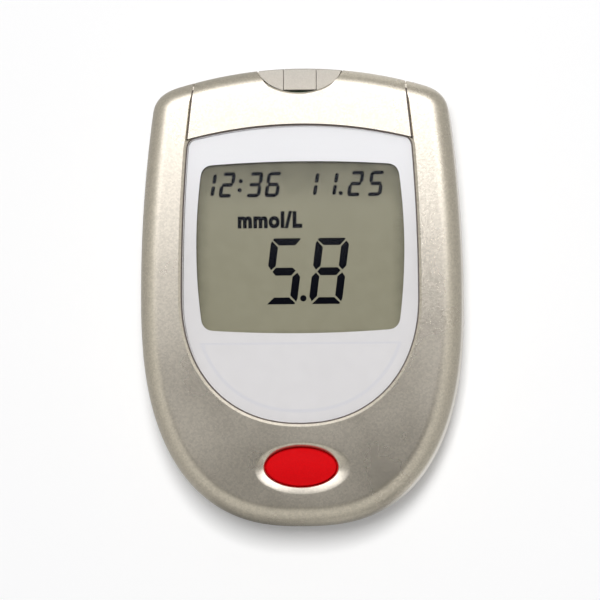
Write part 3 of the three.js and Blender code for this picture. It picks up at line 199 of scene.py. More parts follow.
@dataclass(frozen=True)
class ArchedPlan:
    """A plan with bowed sides, rounded shoulders and an arched head, and a foot rounded by a power."""

    half_width: float
    head: float
    taper: float
    drop: float
    run: float
    arch: float
    foot: float
    power: float

    def head_half(self, steps: int = 60) -> Outline:
        """Works out the head half, from +X over to -X.

        Args:
            steps: steps along each of its curves.

        Returns:
            The open half outline.
        """
        widest = np.array([self.half_width, 0.0])
        side = np.array([self.half_width - self.taper, self.head - self.drop])
        side_pull = np.array([self.half_width, side[1] / 2])
        shoulder = np.array([self.half_width - self.run, self.head - self.arch])
        head_pull = np.array([shoulder[0] / 2, self.head])
        apex = np.array([0.0, self.head])
        first, second = side - side_pull, shoulder - head_pull
        gap = head_pull - side_pull
        share = (gap[0] * second[1] - gap[1] * second[0]) / (first[0] * second[1] - first[1] * second[0])
        meet = side_pull + share * first
        right = np.vstack(
            [
                curve(widest, side_pull, side, steps)[:-1],
                curve(side, meet, shoulder, steps)[:-1],
                curve(shoulder, head_pull, apex, steps),
            ]
        )
        left = right[:-1][::-1] * [-1, 1]
        return np.vstack([right, left])

    def outline(self, count: int) -> Outline:
        """Works out the whole plan.

        Args:
            count: number of evenly spread points.

        Returns:
            The closed anticlockwise outline.
        """
        angle = np.linspace(math.pi, 2 * math.pi, 1200)[1:-1]
        across = np.sign(np.cos(angle)) * np.abs(np.cos(angle)) ** (2 / self.power)
        along = np.abs(np.sin(angle)) ** (2 / self.power)
        under = np.column_stack([self.half_width * across, -self.foot * along])
        return evened(np.vstack([self.head_half(), under]), count)


# Shaping with Blender's own operators


def choose_none() -> None:
    """Leaves nothing selected."""
    if bpy.context.object and bpy.context.object.mode != "OBJECT":
        bpy.ops.object.mode_set(mode="OBJECT")
    bpy.ops.object.select_all(action="DESELECT")


def choose(obj: bpy.types.Object) -> None:
    """Makes a piece the only one selected, and the active one.

    Args:
        obj: the piece.
    """
    choose_none()
    obj.select_set(True)
    bpy.context.view_layer.objects.active = obj


def copied(obj: bpy.types.Object, name: str) -> bpy.types.Object:
    """Copies a piece with a mesh of its own.

    Args:
        obj: the piece.
        name: the copy's name.

    Returns:
        The copy.
    """
    twin = obj.copy()
    twin.data = obj.data.copy()
    twin.name = name
    bpy.context.scene.collection.objects.link(twin)
    return twin


def remove(obj: bpy.types.Object) -> None:
    """Takes a helper shape away."""
    bpy.data.objects.remove(obj, do_unlink=True)


def apply_all(obj: bpy.types.Object) -> None:
    """Applies every modifier of a piece, in order.

    Args:
        obj: the piece.
    """
    choose(obj)
    for modifier in list(obj.modifiers):
        bpy.ops.object.modifier_apply(modifier=modifier.name)


def combine(obj: bpy.types.Object, others: Iterable[bpy.types.Object], how: str) -> bpy.types.Object:
    """Cuts, joins or intersects a piece with other shapes, which are used up.

    Args:
        obj: the piece that stays.
        others: the shapes that work on it, one after the other.
        how: DIFFERENCE, UNION or INTERSECT.

    Returns:
        The piece.
    """
    for other in others:
        modifier = obj.modifiers.new(how.lower(), "BOOLEAN")
        modifier.operation = how
        modifier.solver = "EXACT"
        modifier.object = other
        apply_all(obj)
        if not obj.data.polygons:
            raise RuntimeError(f"{obj.name}: nothing is left after {how} with {other.name}")
        remove(other)
    return obj


def loft(name: str, rings: Sequence[Ring]) -> bpy.types.Object:
    """Extrudes a circle ring by ring and draws each ring to its own outline.

    Args:
        name: the piece's name.
        rings: equal rings of points with height, from the lowest up.

    Returns:
        The closed piece.
    """
    count, levels = len(rings[0]), len(rings)
    choose_none()
    bpy.ops.mesh.primitive_circle_add(vertices=count, radius=1.0, fill_type="NGON")
    obj = bpy.context.object
    obj.name = name
    bpy.ops.object.mode_set(mode="EDIT")
    bpy.ops.mesh.select_mode(type="FACE")
    bpy.ops.mesh.select_all(action="SELECT")
    for _ in range(levels - 1):
        bpy.ops.mesh.extrude_region_move(TRANSFORM_OT_translate={"value": (0, 0, 1)})
    bpy.ops.object.mode_set(mode="OBJECT")
    co = np.empty(count * levels * 3, np.float32)
    obj.data.vertices.foreach_get("co", co)
    co = co.reshape(-1, 3)
    level = np.rint(co[:, 2]).astype(int)
    # the circle starts at +Y, so a point's place along its outline comes from its angle alone
    steps = np.arctan2(co[:, 1], co[:, 0]) / (2 * math.pi / count)
    place = np.rint(steps - 0.25 * (count % 4)).astype(int) % count
    points = np.asarray(rings, float)[level, place]
    obj.data.vertices.foreach_set("co", points.astype(np.float32).ravel())
    obj.data.update()
    face_out(obj)
    return obj


def face_out(obj: bpy.types.Object) -> None:
    """Turns every face of a closed piece outwards.

    Args:
        obj: the piece.
    """
    choose(obj)
    bpy.ops.object.mode_set(mode="EDIT")
    bpy.ops.mesh.select_all(action="SELECT")
    bpy.ops.mesh.normals_make_consistent(inside=False)
    bpy.ops.object.mode_set(mode="OBJECT")


def level_ring(outline: Outline, height: float | Callable[[np.ndarray], np.ndarray]) -> Ring:
    """Lifts an outline to a height.

    Args:
        outline: the outline.
        height: one height, or a function of Y that gives it.

    Returns:
        The points with height.
    """
    z = height(outline[:, 1]) if callable(height) else np.full(len(outline), float(height))
    return np.column_stack([outline, z])


def prism(name: str, outline: Outline, low: float, high: float) -> bpy.types.Object:
    """Extrudes an outline straight up.

    Args:
        name: the piece's name.
        outline: its plan.
        low: its lower height.
        high: its upper height.

    Returns:
        The piece.
    """
    return loft(name, [level_ring(outline, low), level_ring(outline, high)])


def block(name: str, low: Sequence[float], high: Sequence[float]) -> bpy.types.Object:
    """Adds a block between two corners.

    Args:
        name: the piece's name.
        low: its lowest corner.
        high: its highest corner.

    Returns:
        The block.
    """
    choose_none()
    middle = [(a + b) / 2 for a, b in zip(low, high)]
    bpy.ops.mesh.primitive_cube_add(size=1.0, location=middle)
    obj = bpy.context.object
    obj.name = name
    obj.scale = [b - a for a, b in zip(low, high)]
    bpy.ops.object.transform_apply(location=True, rotation=True, scale=True)
    return obj


def rod(
    name: str, x: float, y: float, radius: float, low: float, high: float, sides: int = 48
) -> bpy.types.Object:
    """Adds an upright rod.

    Args:
        name: the piece's name.
        x: its centre along X.
        y: its centre along Y.
        radius: its radius.
        low: its lower height.
        high: its upper height.
        sides: number of sides.

    Returns:
        The rod.
    """
    choose_none()
    bpy.ops.mesh.primitive_cylinder_add(
        vertices=sides, radius=radius, depth=high - low, location=(x, y, (low + high) / 2)
    )
    obj = bpy.context.object
    obj.name = name
    bpy.ops.object.transform_apply(location=True, rotation=True, scale=True)
    return obj


def soften(obj: bpy.types.Object, width: float, segments: int = 2, angle: float = 40.0) -> None:
    """Rounds every edge that is sharper than an angle.

    Args:
        obj: the piece.
        width: width of the rounding.
        segments: steps across it.
        angle: the least turn of an edge, in degrees.
    """
    modifier = obj.modifiers.new("soften", "BEVEL")
    modifier.width = width
    modifier.segments = segments
    modifier.limit_method = "ANGLE"
    modifier.angle_limit = math.radians(angle)
    modifier.use_clamp_overlap = True
    apply_all(obj)


def joined(name: str, parts: Sequence[bpy.types.Object]) -> bpy.types.Object:
    """Puts separate shapes into one piece.

    Args:
        name: the piece's name.
        parts: the shapes.

    Returns:
        The piece.
    """
    choose_none()
    for part in parts:
        part.select_set(True)
    bpy.context.view_layer.objects.active = parts[0]
    if len(parts) > 1:
        bpy.ops.object.join()
    parts[0].name = name
    return parts[0]


def hand_over(
    obj: bpy.types.Object,
    body: Body,
    material: bpy.types.Material,
    nodes: Sequence[str] = (),
    smooth: float = 30.0,
) -> None:
    """Puts a finished shape into metres and hands it to its body.

    Args:
        obj: the shape, in millimetres.
        body: the body that it rides on.
        material: its finish.
        nodes: the frame's nodes that it stands for.
        smooth: edges that turn less than this many degrees are shaded smooth.
    """
    obj.data.transform(Matrix.Scale(MM, 4))
    choose(obj)
    bpy.ops.object.shade_smooth_by_angle(angle=math.radians(smooth))
    normals = obj.modifiers.new("weighted_normals", "WEIGHTED_NORMAL")
    normals.keep_sharp = True
    normals.weight = 60
    apply_all(obj)
    obj.data.materials.clear()
    obj.data.materials.append(material)
    choose_none()
    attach(obj, body.value)
    if nodes:
        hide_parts(*nodes)
    LOG.info("%s: %d faces on %s", obj.name, len(obj.data.polygons), body.value)


# Finishes


class Nodes:
    """Adds and joins the nodes of one tree."""

    def __init__(self, tree: bpy.types.NodeTree) -> None:
        """Takes the tree that it works on."""
        self.tree = tree

    def add(self, kind: str, **settings: object) -> bpy.types.Node:
        """Adds a node.

        Args:
            kind: its type.
            **settings: properties to set on it.

        Returns:
            The node.
        """
        node = self.tree.nodes.new(kind)
        for name, value in settings.items():
            setattr(node, name, value)
        return node

    def link(self, start: bpy.types.NodeSocket, end: bpy.types.NodeSocket) -> None:
        """Joins an output to an input."""
        self.tree.links.new(start, end)

    def noise(self, vector: bpy.types.NodeSocket, scale: float, detail: float = 2.0) -> bpy.types.NodeSocket:
        """Adds a noise.

        Args:
            vector: where it is read.
            scale: its scale.
            detail: its detail.

        Returns:
            Its value, from 0 to 1.
        """
        node = self.add("ShaderNodeTexNoise")
        node.inputs["Scale"].default_value = scale
        node.inputs["Detail"].default_value = detail
        self.link(vector, node.inputs["Vector"])
        return node.outputs["Fac"]

    def band(
        self, value: bpy.types.NodeSocket, low: float, high: float, start: float = 0.0, end: float = 1.0
    ) -> bpy.types.NodeSocket:
        """Maps a range of a value onto another range, held at its ends.

        Args:
            value: what is mapped.
            low: value at the start.
            high: value at the end.
            start: result at low.
            end: result at high.

        Returns:
            The mapped value.
        """
        node = self.add("ShaderNodeMapRange", clamp=True)
        self.link(value, node.inputs["Value"])
        for socket, number in zip(("From Min", "From Max", "To Min", "To Max"), (low, high, start, end)):
            node.inputs[socket].default_value = number
        return node.outputs["Result"]

    def eased(self, value: bpy.types.NodeSocket, low: float, high: float) -> bpy.types.NodeSocket:
        """Rises softly from 0 to 1 between two values, which may also run downwards.

        Args:
            value: what is mapped.
            low: value at 0.
            high: value at 1.

        Returns:
            The mapped value.
        """
        result = self.band(value, low, high)
        result.node.interpolation_type = "SMOOTHSTEP"
        return result

    def maths(self, how: str, a: object, b: object) -> bpy.types.NodeSocket:
        """Adds a sum, product or the like of two values.

        Args:
            how: the operation.
            a: a socket or a number.
            b: a socket or a number.

        Returns:
            The result.
        """
        node = self.add("ShaderNodeMath", operation=how)
        for socket, value in zip(node.inputs, (a, b)):
            if isinstance(value, (int, float)):
                socket.default_value = value
            else:
                self.link(value, socket)
        return node.outputs[0]

    def blend(self, share: object, a: object, b: object) -> bpy.types.NodeSocket:
        """Mixes two colours.

        Args:
            share: a socket or a number, 0 for the first colour.
            a: a colour or a socket.
            b: a colour or a socket.

        Returns:
            The mixed colour.
        """
        node = self.add("ShaderNodeMix", data_type="RGBA")
        for socket, value in zip((node.inputs[0], node.inputs[6], node.inputs[7]), (share, a, b)):
            if isinstance(value, (int, float)):
                socket.default_value = value
            elif isinstance(value, tuple):
                socket.default_value = (*value, 1.0)
            else:
                self.link(value, socket)
        return node.outputs[2]


def new_group(
    name: str, inputs: dict[str, float], outputs: Sequence[str]
) -> tuple[bpy.types.NodeTree, Nodes]:
    """Starts a shared effect.

    Args:
        name: its name.
        inputs: its number inputs with their usual values, after the input Vector.
        outputs: its number outputs.

    Returns:
        The group and its nodes.
    """
    tree = bpy.data.node_groups.new(name, "ShaderNodeTree")
    tree.interface.new_socket("Vector", in_out="INPUT", socket_type="NodeSocketVector")
    for socket_name, value in inputs.items():
        socket = tree.interface.new_socket(socket_name, in_out="INPUT", socket_type="NodeSocketFloat")
        socket.default_value = value
    for socket_name in outputs:
        tree.interface.new_socket(socket_name, in_out="OUTPUT", socket_type="NodeSocketFloat")
    return tree, Nodes(tree)


def new_material(name: str, bare: bool = False) -> tuple[bpy.types.Material, Nodes]:
    """Starts a material.

    Args:
        name: its name.
        bare: whether it starts without the usual shader.

    Returns:
        The material and its nodes.
    """
    material = bpy.data.materials.new(name)
    material.use_nodes = True
    if bare:
        material.node_tree.nodes.clear()
    return material, Nodes(material.node_tree)


class Effects:
    """The effects that several finishes share, each built once."""

    def __init__(self) -> None:
        """Builds every effect."""
        self.grain = self.build_grain()
        self.wear = self.build_wear()
        self.handling = self.build_handling()

    def build_grain(self) -> bpy.types.NodeTree:
        """Builds the fine grain of a moulded or sprayed surface.

        Returns:
            The group, with a height and a speckle.
        """
        tree, nodes = new_group("fine_grain", {"Scale": 6000.0, "Coarse Scale": 900.0}, ("Height", "Speckle"))
        start, end = nodes.add("NodeGroupInput"), nodes.add("NodeGroupOutput")
        fine = nodes.add("ShaderNodeTexNoise")
        fine.inputs["Detail"].default_value = 1.0
        nodes.link(start.outputs["Vector"], fine.inputs["Vector"])
        nodes.link(start.outputs["Scale"], fine.inputs["Scale"])
        coarse = nodes.add("ShaderNodeTexNoise")
        nodes.link(start.outputs["Vector"], coarse.inputs["Vector"])
        nodes.link(start.outputs["Coarse Scale"], coarse.inputs["Scale"])
        cells = nodes.add("ShaderNodeTexVoronoi")
        nodes.link(start.outputs["Vector"], cells.inputs["Vector"])
        nodes.link(start.outputs["Scale"], cells.inputs["Scale"])
        height = nodes.maths("ADD", fine.outputs["Fac"], nodes.maths("MULTIPLY", coarse.outputs["Fac"], 0.6))
        tone = nodes.add("ShaderNodeSeparateColor")
        nodes.link(cells.outputs["Color"], tone.inputs[0])
        nodes.link(height, end.inputs["Height"])
        nodes.link(tone.outputs[0], end.inputs["Speckle"])
        return tree

    def build_wear(self) -> bpy.types.NodeTree:
        """Builds the rubbed look of raised edges.

        Returns:
            The group, with a mask of rubbed edges and one of hollow corners.
        """
        tree, nodes = new_group("edge_wear", {"Edge Start": 0.53, "Edge End": 0.6}, ("Edge", "Corner"))
        start, end = nodes.add("NodeGroupInput"), nodes.add("NodeGroupOutput")
        shape = nodes.add("ShaderNodeNewGeometry")
        edge = nodes.add("ShaderNodeMapRange", clamp=True)
        nodes.link(shape.outputs["Pointiness"], edge.inputs["Value"])
        nodes.link(start.outputs["Edge Start"], edge.inputs["From Min"])
        nodes.link(start.outputs["Edge End"], edge.inputs["From Max"])
        patches = nodes.band(nodes.noise(start.outputs["Vector"], 420.0, 4.0), 0.35, 0.65)
        corner = nodes.band(shape.outputs["Pointiness"], 0.4, 0.48, 1.0, 0.0)
        nodes.link(nodes.maths("MULTIPLY", edge.outputs["Result"], patches), end.inputs["Edge"])
        nodes.link(corner, end.inputs["Corner"])
        return tree

    def build_handling(self) -> bpy.types.NodeTree:
        """Builds the soft smears and hairline marks of handling.

        Returns:
            The group, with smears and marks.
        """
        scales = {"Smear Scale": 60.0, "Mark Scale": 500.0}
        tree, nodes = new_group("handling_marks", scales, ("Smear", "Mark"))
        start, end = nodes.add("NodeGroupInput"), nodes.add("NodeGroupOutput")
        smear = nodes.add("ShaderNodeTexNoise")
        smear.inputs["Detail"].default_value = 4.0
        nodes.link(start.outputs["Vector"], smear.inputs["Vector"])
        nodes.link(start.outputs["Smear Scale"], smear.inputs["Scale"])
        stretched = nodes.add("ShaderNodeMapping")
        stretched.inputs["Rotation"].default_value = (0.0, 0.0, 0.7)
        stretched.inputs["Scale"].default_value = (1.0, 0.04, 1.0)
        nodes.link(start.outputs["Vector"], stretched.inputs["Vector"])
        mark = nodes.add("ShaderNodeTexNoise")
        nodes.link(stretched.outputs["Vector"], mark.inputs["Vector"])
        nodes.link(start.outputs["Mark Scale"], mark.inputs["Scale"])
        nodes.link(nodes.band(smear.outputs["Fac"], 0.35, 0.7), end.inputs["Smear"])
        nodes.link(nodes.band(mark.outputs["Fac"], 0.66, 0.74), end.inputs["Mark"])
        return tree


EFFECTS = Effects()


@dataclass(frozen=True)
class Finish:
    """A moulded, sprayed or plated surface."""

    name: str
    colour: Colour
    roughness: float
    metallic: float = 0.0
    specular: float = 0.5
    coat: float = 0.0
    grain_scale: float = 6000.0
    grain_depth: float = 0.004
    speckle: float = 0.03
    wear: float = 0.25
    smear: float = 0.06
    corner_darkening: float = 0.25
    rub_gain: float = 1.15
    rub_lift: float = 0.02
    coat_roughness: float = 0.12

    def material(self) -> bpy.types.Material:
        """Builds the material, once.

        Returns:
            The material.
        """
        title = f"{self.name}_finish"
        known = bpy.data.materials.get(title)
        if known:
            return known
        material, nodes = new_material(title)
        shader = material.node_tree.nodes["Principled BSDF"]
        place = nodes.add("ShaderNodeTexCoord").outputs["Object"]
        grain, wear, handling = self.effects(nodes, place)
        self.dress(nodes, shader, place, grain, wear, handling)
        return material

    def effects(
        self, nodes: Nodes, place: bpy.types.NodeSocket
    ) -> tuple[bpy.types.Node, bpy.types.Node, bpy.types.Node]:
        """Places the shared effects.

        Args:
            nodes: the material's nodes.
            place: the object coordinates.

        Returns:
            The grain, wear and handling groups.
        """
        placed = []
        for tree in (EFFECTS.grain, EFFECTS.wear, EFFECTS.handling):
            group = nodes.add("ShaderNodeGroup", node_tree=tree)
            nodes.link(place, group.inputs["Vector"])
            placed.append(group)
        placed[0].inputs["Scale"].default_value = self.grain_scale
        placed[0].inputs["Coarse Scale"].default_value = self.grain_scale / 6
        return placed[0], placed[1], placed[2]

    def base_colour(self, nodes: Nodes, place: bpy.types.NodeSocket) -> object:
        """Gives the colour before wear: here the same all over."""
        return self.colour

    def dress(
        self,
        nodes: Nodes,
        shader: bpy.types.Node,
        place: bpy.types.NodeSocket,
        grain: bpy.types.Node,
        wear: bpy.types.Node,
        handling: bpy.types.Node,
    ) -> None:
        """Joins the effects to the shader.

        Args:
            nodes: the material's nodes.
            shader: its shader.
            place: the object coordinates.
            grain: the grain group.
            wear: the wear group.
            handling: the handling group.
        """
        base = self.base_colour(nodes, place)
        darker = tuple(channel * (1 - self.speckle) for channel in self.colour)
        if isinstance(base, tuple):
            lighter = tuple(min(1.0, channel * (1 + self.speckle)) for channel in self.colour)
            toned = nodes.blend(grain.outputs["Speckle"], darker, lighter)
        else:
            toned = nodes.blend(nodes.maths("MULTIPLY", grain.outputs["Speckle"], self.speckle), base, darker)
        # the colour is a little darker in hollow corners, found by pointiness
        corner_darkened = nodes.blend(nodes.maths("MULTIPLY", wear.outputs["Corner"], self.corner_darkening), toned, darker)
        worn = tuple(min(1.0, channel * self.rub_gain + self.rub_lift) for channel in self.colour)
        rubbed = nodes.blend(nodes.maths("MULTIPLY", wear.outputs["Edge"], self.wear), corner_darkened, worn)
        nodes.link(rubbed, shader.inputs["Base Color"])
        rough = nodes.maths("MULTIPLY_ADD", handling.outputs["Smear"], self.smear)
        rough.node.inputs[2].default_value = self.roughness
        nodes.link(rough, shader.inputs["Roughness"])
        bump = nodes.add("ShaderNodeBump")
        bump.inputs["Strength"].default_value = 1.0
        bump.inputs["Distance"].default_value = self.grain_depth * MM
        nodes.link(grain.outputs["Height"], bump.inputs["Height"])
        nodes.link(bump.outputs["Normal"], shader.inputs["Normal"])
        shader.inputs["Metallic"].default_value = self.metallic
        shader.inputs["Specular IOR Level"].default_value = self.specular
        shader.inputs["Coat Weight"].default_value = self.coat
        shader.inputs["Coat Roughness"].default_value = self.coat_roughness


@dataclass(frozen=True)
class PanelFinish(Finish):
    """The display panel's face, with painted shadow: darker where the printed film's edge shades it."""

    centre_y: float = 9.7
    half_width: float = 20.6
    half_length: float = 17.1
    side_reach: float = 2.6
    head_reach: float = 9.0
    foot_reach: float = 1.0
    side_ease: float = 0.5
    side_level: float = 0.45
    head_ease: float = 0.85
    head_level: float = 0.43
    foot_level: float = 0.8

    def base_colour(self, nodes: Nodes, place: bpy.types.NodeSocket) -> object:
        """Shades the colour towards the window's edges, and most under its head.

        Args:
            nodes: the material's nodes.
            place: the object coordinates.

        Returns:
            The colour.
        """
        split = nodes.add("ShaderNodeSeparateXYZ")
        nodes.link(place, split.inputs[0])
        across = nodes.maths("ABSOLUTE", split.outputs["X"], 0.0)
        side = nodes.band(across, self.half_width * MM, (self.half_width - self.side_reach) * MM)
        head = self.centre_y + self.half_length
        top = nodes.band(split.outputs["Y"], head * MM, (head - self.head_reach) * MM)
        low = self.centre_y - self.half_length
        foot = nodes.band(split.outputs["Y"], low * MM, (low + self.foot_reach) * MM, self.foot_level, 1.0)
        side = nodes.band(nodes.maths("POWER", side, self.side_ease), 0.0, 1.0, self.side_level, 1.0)
        top = nodes.band(nodes.maths("POWER", top, self.head_ease), 0.0, 1.0, self.head_level, 1.0)
        lit = nodes.maths("MULTIPLY", nodes.maths("MULTIPLY", side, top), foot)
        return nodes.blend(lit, (0.0, 0.0, 0.0), self.colour)


@dataclass(frozen=True)
class FilmFinish(Finish):
    """The printed film, with painted light: lighter towards its head, where it catches more light."""

    start: float = 5.0
    end: float = 30.0
    lit: Colour = (0.87, 0.87, 0.89)

    def base_colour(self, nodes: Nodes, place: bpy.types.NodeSocket) -> object:
        """Brightens the colour towards the head.

        Args:
            nodes: the material's nodes.
            place: the object coordinates.

        Returns:
            The colour.
        """
        split = nodes.add("ShaderNodeSeparateXYZ")
        nodes.link(place, split.inputs[0])
        rise = nodes.eased(split.outputs["Y"], self.start * MM, self.end * MM)
        return nodes.blend(rise, self.colour, self.lit)


@dataclass(frozen=True)
class ClearFinish:
    """A clear moulded part. Lamps reach what lies under it."""

    name: str = "clear_acrylic"
    colour: Colour = (0.97, 0.98, 1.0)
    roughness: float = 0.01
    index: float = 1.2
    smear: float = 0.01
    smear_tone: float = 0.985

    def material(self) -> bpy.types.Material:
        """Builds the material, once.

        Returns:
            The material.
        """
        title = f"{self.name}_finish"
        known = bpy.data.materials.get(title)
        if known:
            return known
        material, nodes = new_material(title)
        shader = material.node_tree.nodes["Principled BSDF"]
        output = material.node_tree.nodes["Material Output"]
        place = nodes.add("ShaderNodeTexCoord").outputs["Object"]
        handling = nodes.add("ShaderNodeGroup", node_tree=EFFECTS.handling)
        nodes.link(place, handling.inputs["Vector"])
        smeared = tuple(self.smear_tone * part for part in self.colour)
        tint = nodes.blend(handling.outputs["Smear"], self.colour, smeared)
        nodes.link(tint, shader.inputs["Base Color"])
        rough = nodes.maths("MULTIPLY_ADD", handling.outputs["Smear"], self.smear)
        rough.node.inputs[2].default_value = self.roughness
        nodes.link(rough, shader.inputs["Roughness"])
        shader.inputs["Transmission Weight"].default_value = 1.0
        shader.inputs["IOR"].default_value = self.index
        path = nodes.add("ShaderNodeLightPath")
        through = nodes.add("ShaderNodeBsdfTransparent")
        passing = nodes.maths("MAXIMUM", path.outputs["Is Shadow Ray"], path.outputs["Is Diffuse Ray"])
        mix = nodes.add("ShaderNodeMixShader")
        nodes.link(passing, mix.inputs[0])
        nodes.link(shader.outputs[0], mix.inputs[1])
        nodes.link(through.outputs[0], mix.inputs[2])
        nodes.link(mix.outputs[0], output.inputs["Surface"])
        return material


def srgb(red: int, green: int, blue: int) -> Colour:
    """Turns a colour as it is seen on a screen into the one that a shader takes.

    Args:
        red: red, up to 255.
        green: green, up to 255.
        blue: blue, up to 255.

    Returns:
        The linear colour.
    """
    parts = (channel / 255 for channel in (red, green, blue))
    linear = [part / 12.92 if part <= 0.04045 else ((part + 0.055) / 1.055) ** 2.4 for part in parts]
    return (linear[0], linear[1], linear[2])


SILVER_PAINT = Finish(
    "silver_paint", srgb(193, 185, 168), 0.26, metallic=0.9,
    grain_scale=3100.0, grain_depth=0.0015, speckle=0.095, wear=0.35
)
MATTE_BEIGE = Finish(
    "matte_beige", srgb(198, 193, 185), 0.62, specular=0.4,
    grain_scale=5000.0, grain_depth=0.006, speckle=0.04
)
RED_PLASTIC = Finish(
    "red_plastic", srgb(214, 9, 17), 0.55, specular=0.04,
    grain_scale=5000.0, grain_depth=0.003, speckle=0.05
)
WHITE_FILM = FilmFinish(
    "white_film", srgb(221, 219, 220), 0.5, specular=0.1,
    grain_scale=9000.0, grain_depth=0.001, speckle=0.01
)
PANEL_GLASS = PanelFinish(
    "panel_glass", srgb(144, 141, 121), 0.5, specular=0.05,
    grain_scale=9000.0, grain_depth=0.001, speckle=0.035
)
PANEL_INK = Finish(
    "panel_ink", srgb(13, 14, 20), 0.5, specular=0.0,
    grain_scale=9000.0, grain_depth=0.001, speckle=0.05, wear=0.0
)
REFLECTOR_FILM = Finish(
    "reflector_film", srgb(160, 158, 140), 0.45, metallic=0.4, grain_scale=9000.0, grain_depth=0.001
)
WHITE_PLASTIC = Finish("white_plastic", srgb(222, 221, 217), 0.55)
BLACK_PLASTIC = Finish(
    "black_plastic", srgb(30, 30, 32), 0.5, grain_scale=5000.0, grain_depth=0.008, speckle=0.1
)
GREY_RUBBER = Finish(
    "grey_rubber", srgb(120, 120, 122), 0.8, specular=0.3,
    grain_scale=4000.0, grain_depth=0.01, speckle=0.08
)
GREY_PLASTIC = Finish(
    "grey_plastic", srgb(112, 114, 118), 0.5, grain_scale=5000.0, grain_depth=0.006, speckle=0.06
)
GOLD_METAL = Finish(
    "gold_metal", srgb(222, 186, 105), 0.28, metallic=1.0,
    grain_scale=4000.0, grain_depth=0.002, speckle=0.04
)
TINNED_METAL = Finish(
    "tinned_metal", srgb(196, 198, 202), 0.3, metallic=1.0,
    grain_scale=3000.0, grain_depth=0.003, speckle=0.05
)
SCREW_STEEL = Finish(
    "screw_steel", srgb(170, 172, 176), 0.33, metallic=1.0, grain_scale=3000.0, speckle=0.08
)
BOARD_GREEN = Finish("board_green", srgb(34, 96, 58), 0.35, coat=0.3, grain_scale=2500.0, speckle=0.08)
CLEAR_ACRYLIC = ClearFinish()
BACKING = Finish(
    "film_backing", srgb(217, 216, 220), 0.5, specular=0.1, grain_scale=5000.0, speckle=0.02, wear=0.0
)
# painted shade: dark pieces in the gaps round the lens and the cover, standing for the shadow in them
GAP_SHADE = Finish("painted_gap_shade", srgb(98, 90, 87), 0.6, specular=0.2, grain_scale=5000.0, speckle=0.05, wear=0.0)


# The case's form


@dataclass(frozen=True)
class CaseForm:
    """The plan and section that the two housings, the cover and the door share."""

    width: float = 64.0
    length: float = 91.3
    thickness: float = 22.0
    crown: float = 1.2
    front_run: float = 4.0
    front_drop: float = 4.4
    front_ease: float = 2.0
    back_run: float = 5.0
    back_drop: float = 6.0
    seam: float = 9.6
    gap: float = 0.3
    points: int = 420
    steps: int = 20

    @property
    def half_length(self) -> float:
        """Half the case's length."""
        return self.length / 2

    def outline(self) -> Outline:
        """Works out the case's plan.

        Returns:
            The closed outline.
        """
        half = self.half_length
        return ArchedPlan(
            self.width / 2, half, taper=2.5, drop=8.6, run=7.5, arch=3.6, foot=half, power=2.5
        ).outline(self.points)

    def face(self, y: np.ndarray) -> np.ndarray:
        """The face's height at a place along Y."""
        return self.thickness - self.crown * (y / self.half_length) ** 2

    def front(self, name: str, distance: float, low: float) -> bpy.types.Object:
        """Lofts the front's form: straight sides, an edge that eases into the crowned face.

        Args:
            name: the shape's name.
            distance: how far it is drawn in from the outside.
            low: its lowest height.

        Returns:
            The closed form.
        """
        plan = self.outline()
        run, drop = self.front_run - distance, self.front_drop - distance
        rings = [level_ring(drawn_in(plan, distance), low)]
        for angle in np.linspace(0, math.pi / 2, self.steps + 1):
            sunk = distance + drop * (1 - math.sin(angle))
            out = math.cos(angle) ** (2 / self.front_ease)
            edge = drawn_in(plan, distance + run * (1 - out))
            rings.append(level_ring(edge, lambda y, sunk=sunk: self.face(y) - sunk))
        edge = drawn_in(plan, distance + run)
        for share in np.linspace(1, CORE_SHARE, 30)[1:]:
            rings.append(level_ring(edge * share, lambda y: self.face(y) - distance))
        return loft(name, rings)

    def back(self, name: str, distance: float, high: float) -> bpy.types.Object:
        """Lofts the back's form: a flat back, a rounded edge and straight sides.

        Args:
            name: the shape's name.
            distance: how far it is drawn in from the outside.
            high: its highest height.

        Returns:
            The closed form.
        """
        plan = self.outline()
        run, drop = self.back_run - distance, self.back_drop - distance
        rings = []
        for angle in np.linspace(0, math.pi / 2, self.steps + 1):
            inset = distance + run * (1 - math.sin(angle))
            rings.append(level_ring(drawn_in(plan, inset), distance + drop * (1 - math.cos(angle))))
        rings.append(level_ring(drawn_in(plan, distance), high))
        return loft(name, rings)

    def recess(
        self, name: str, outline: Outline, floor: float, chamfer: float, fall: float
    ) -> bpy.types.Object:
        """Lofts a recess up through the face, with a chamfer where its wall meets the face.

        Args:
            name: the shape's name.
            outline: its plan.
            floor: height of its floor.
            chamfer: width of its chamfer.
            fall: how far the chamfer falls.

        Returns:
            The cutter.
        """
        rings = [
            level_ring(outline, floor),
            level_ring(outline, lambda y: self.face(y) - fall),
            level_ring(drawn_in(outline, -chamfer - OVER), lambda y: self.face(y) + OVER * fall / chamfer),
        ]
        return loft(name, rings)


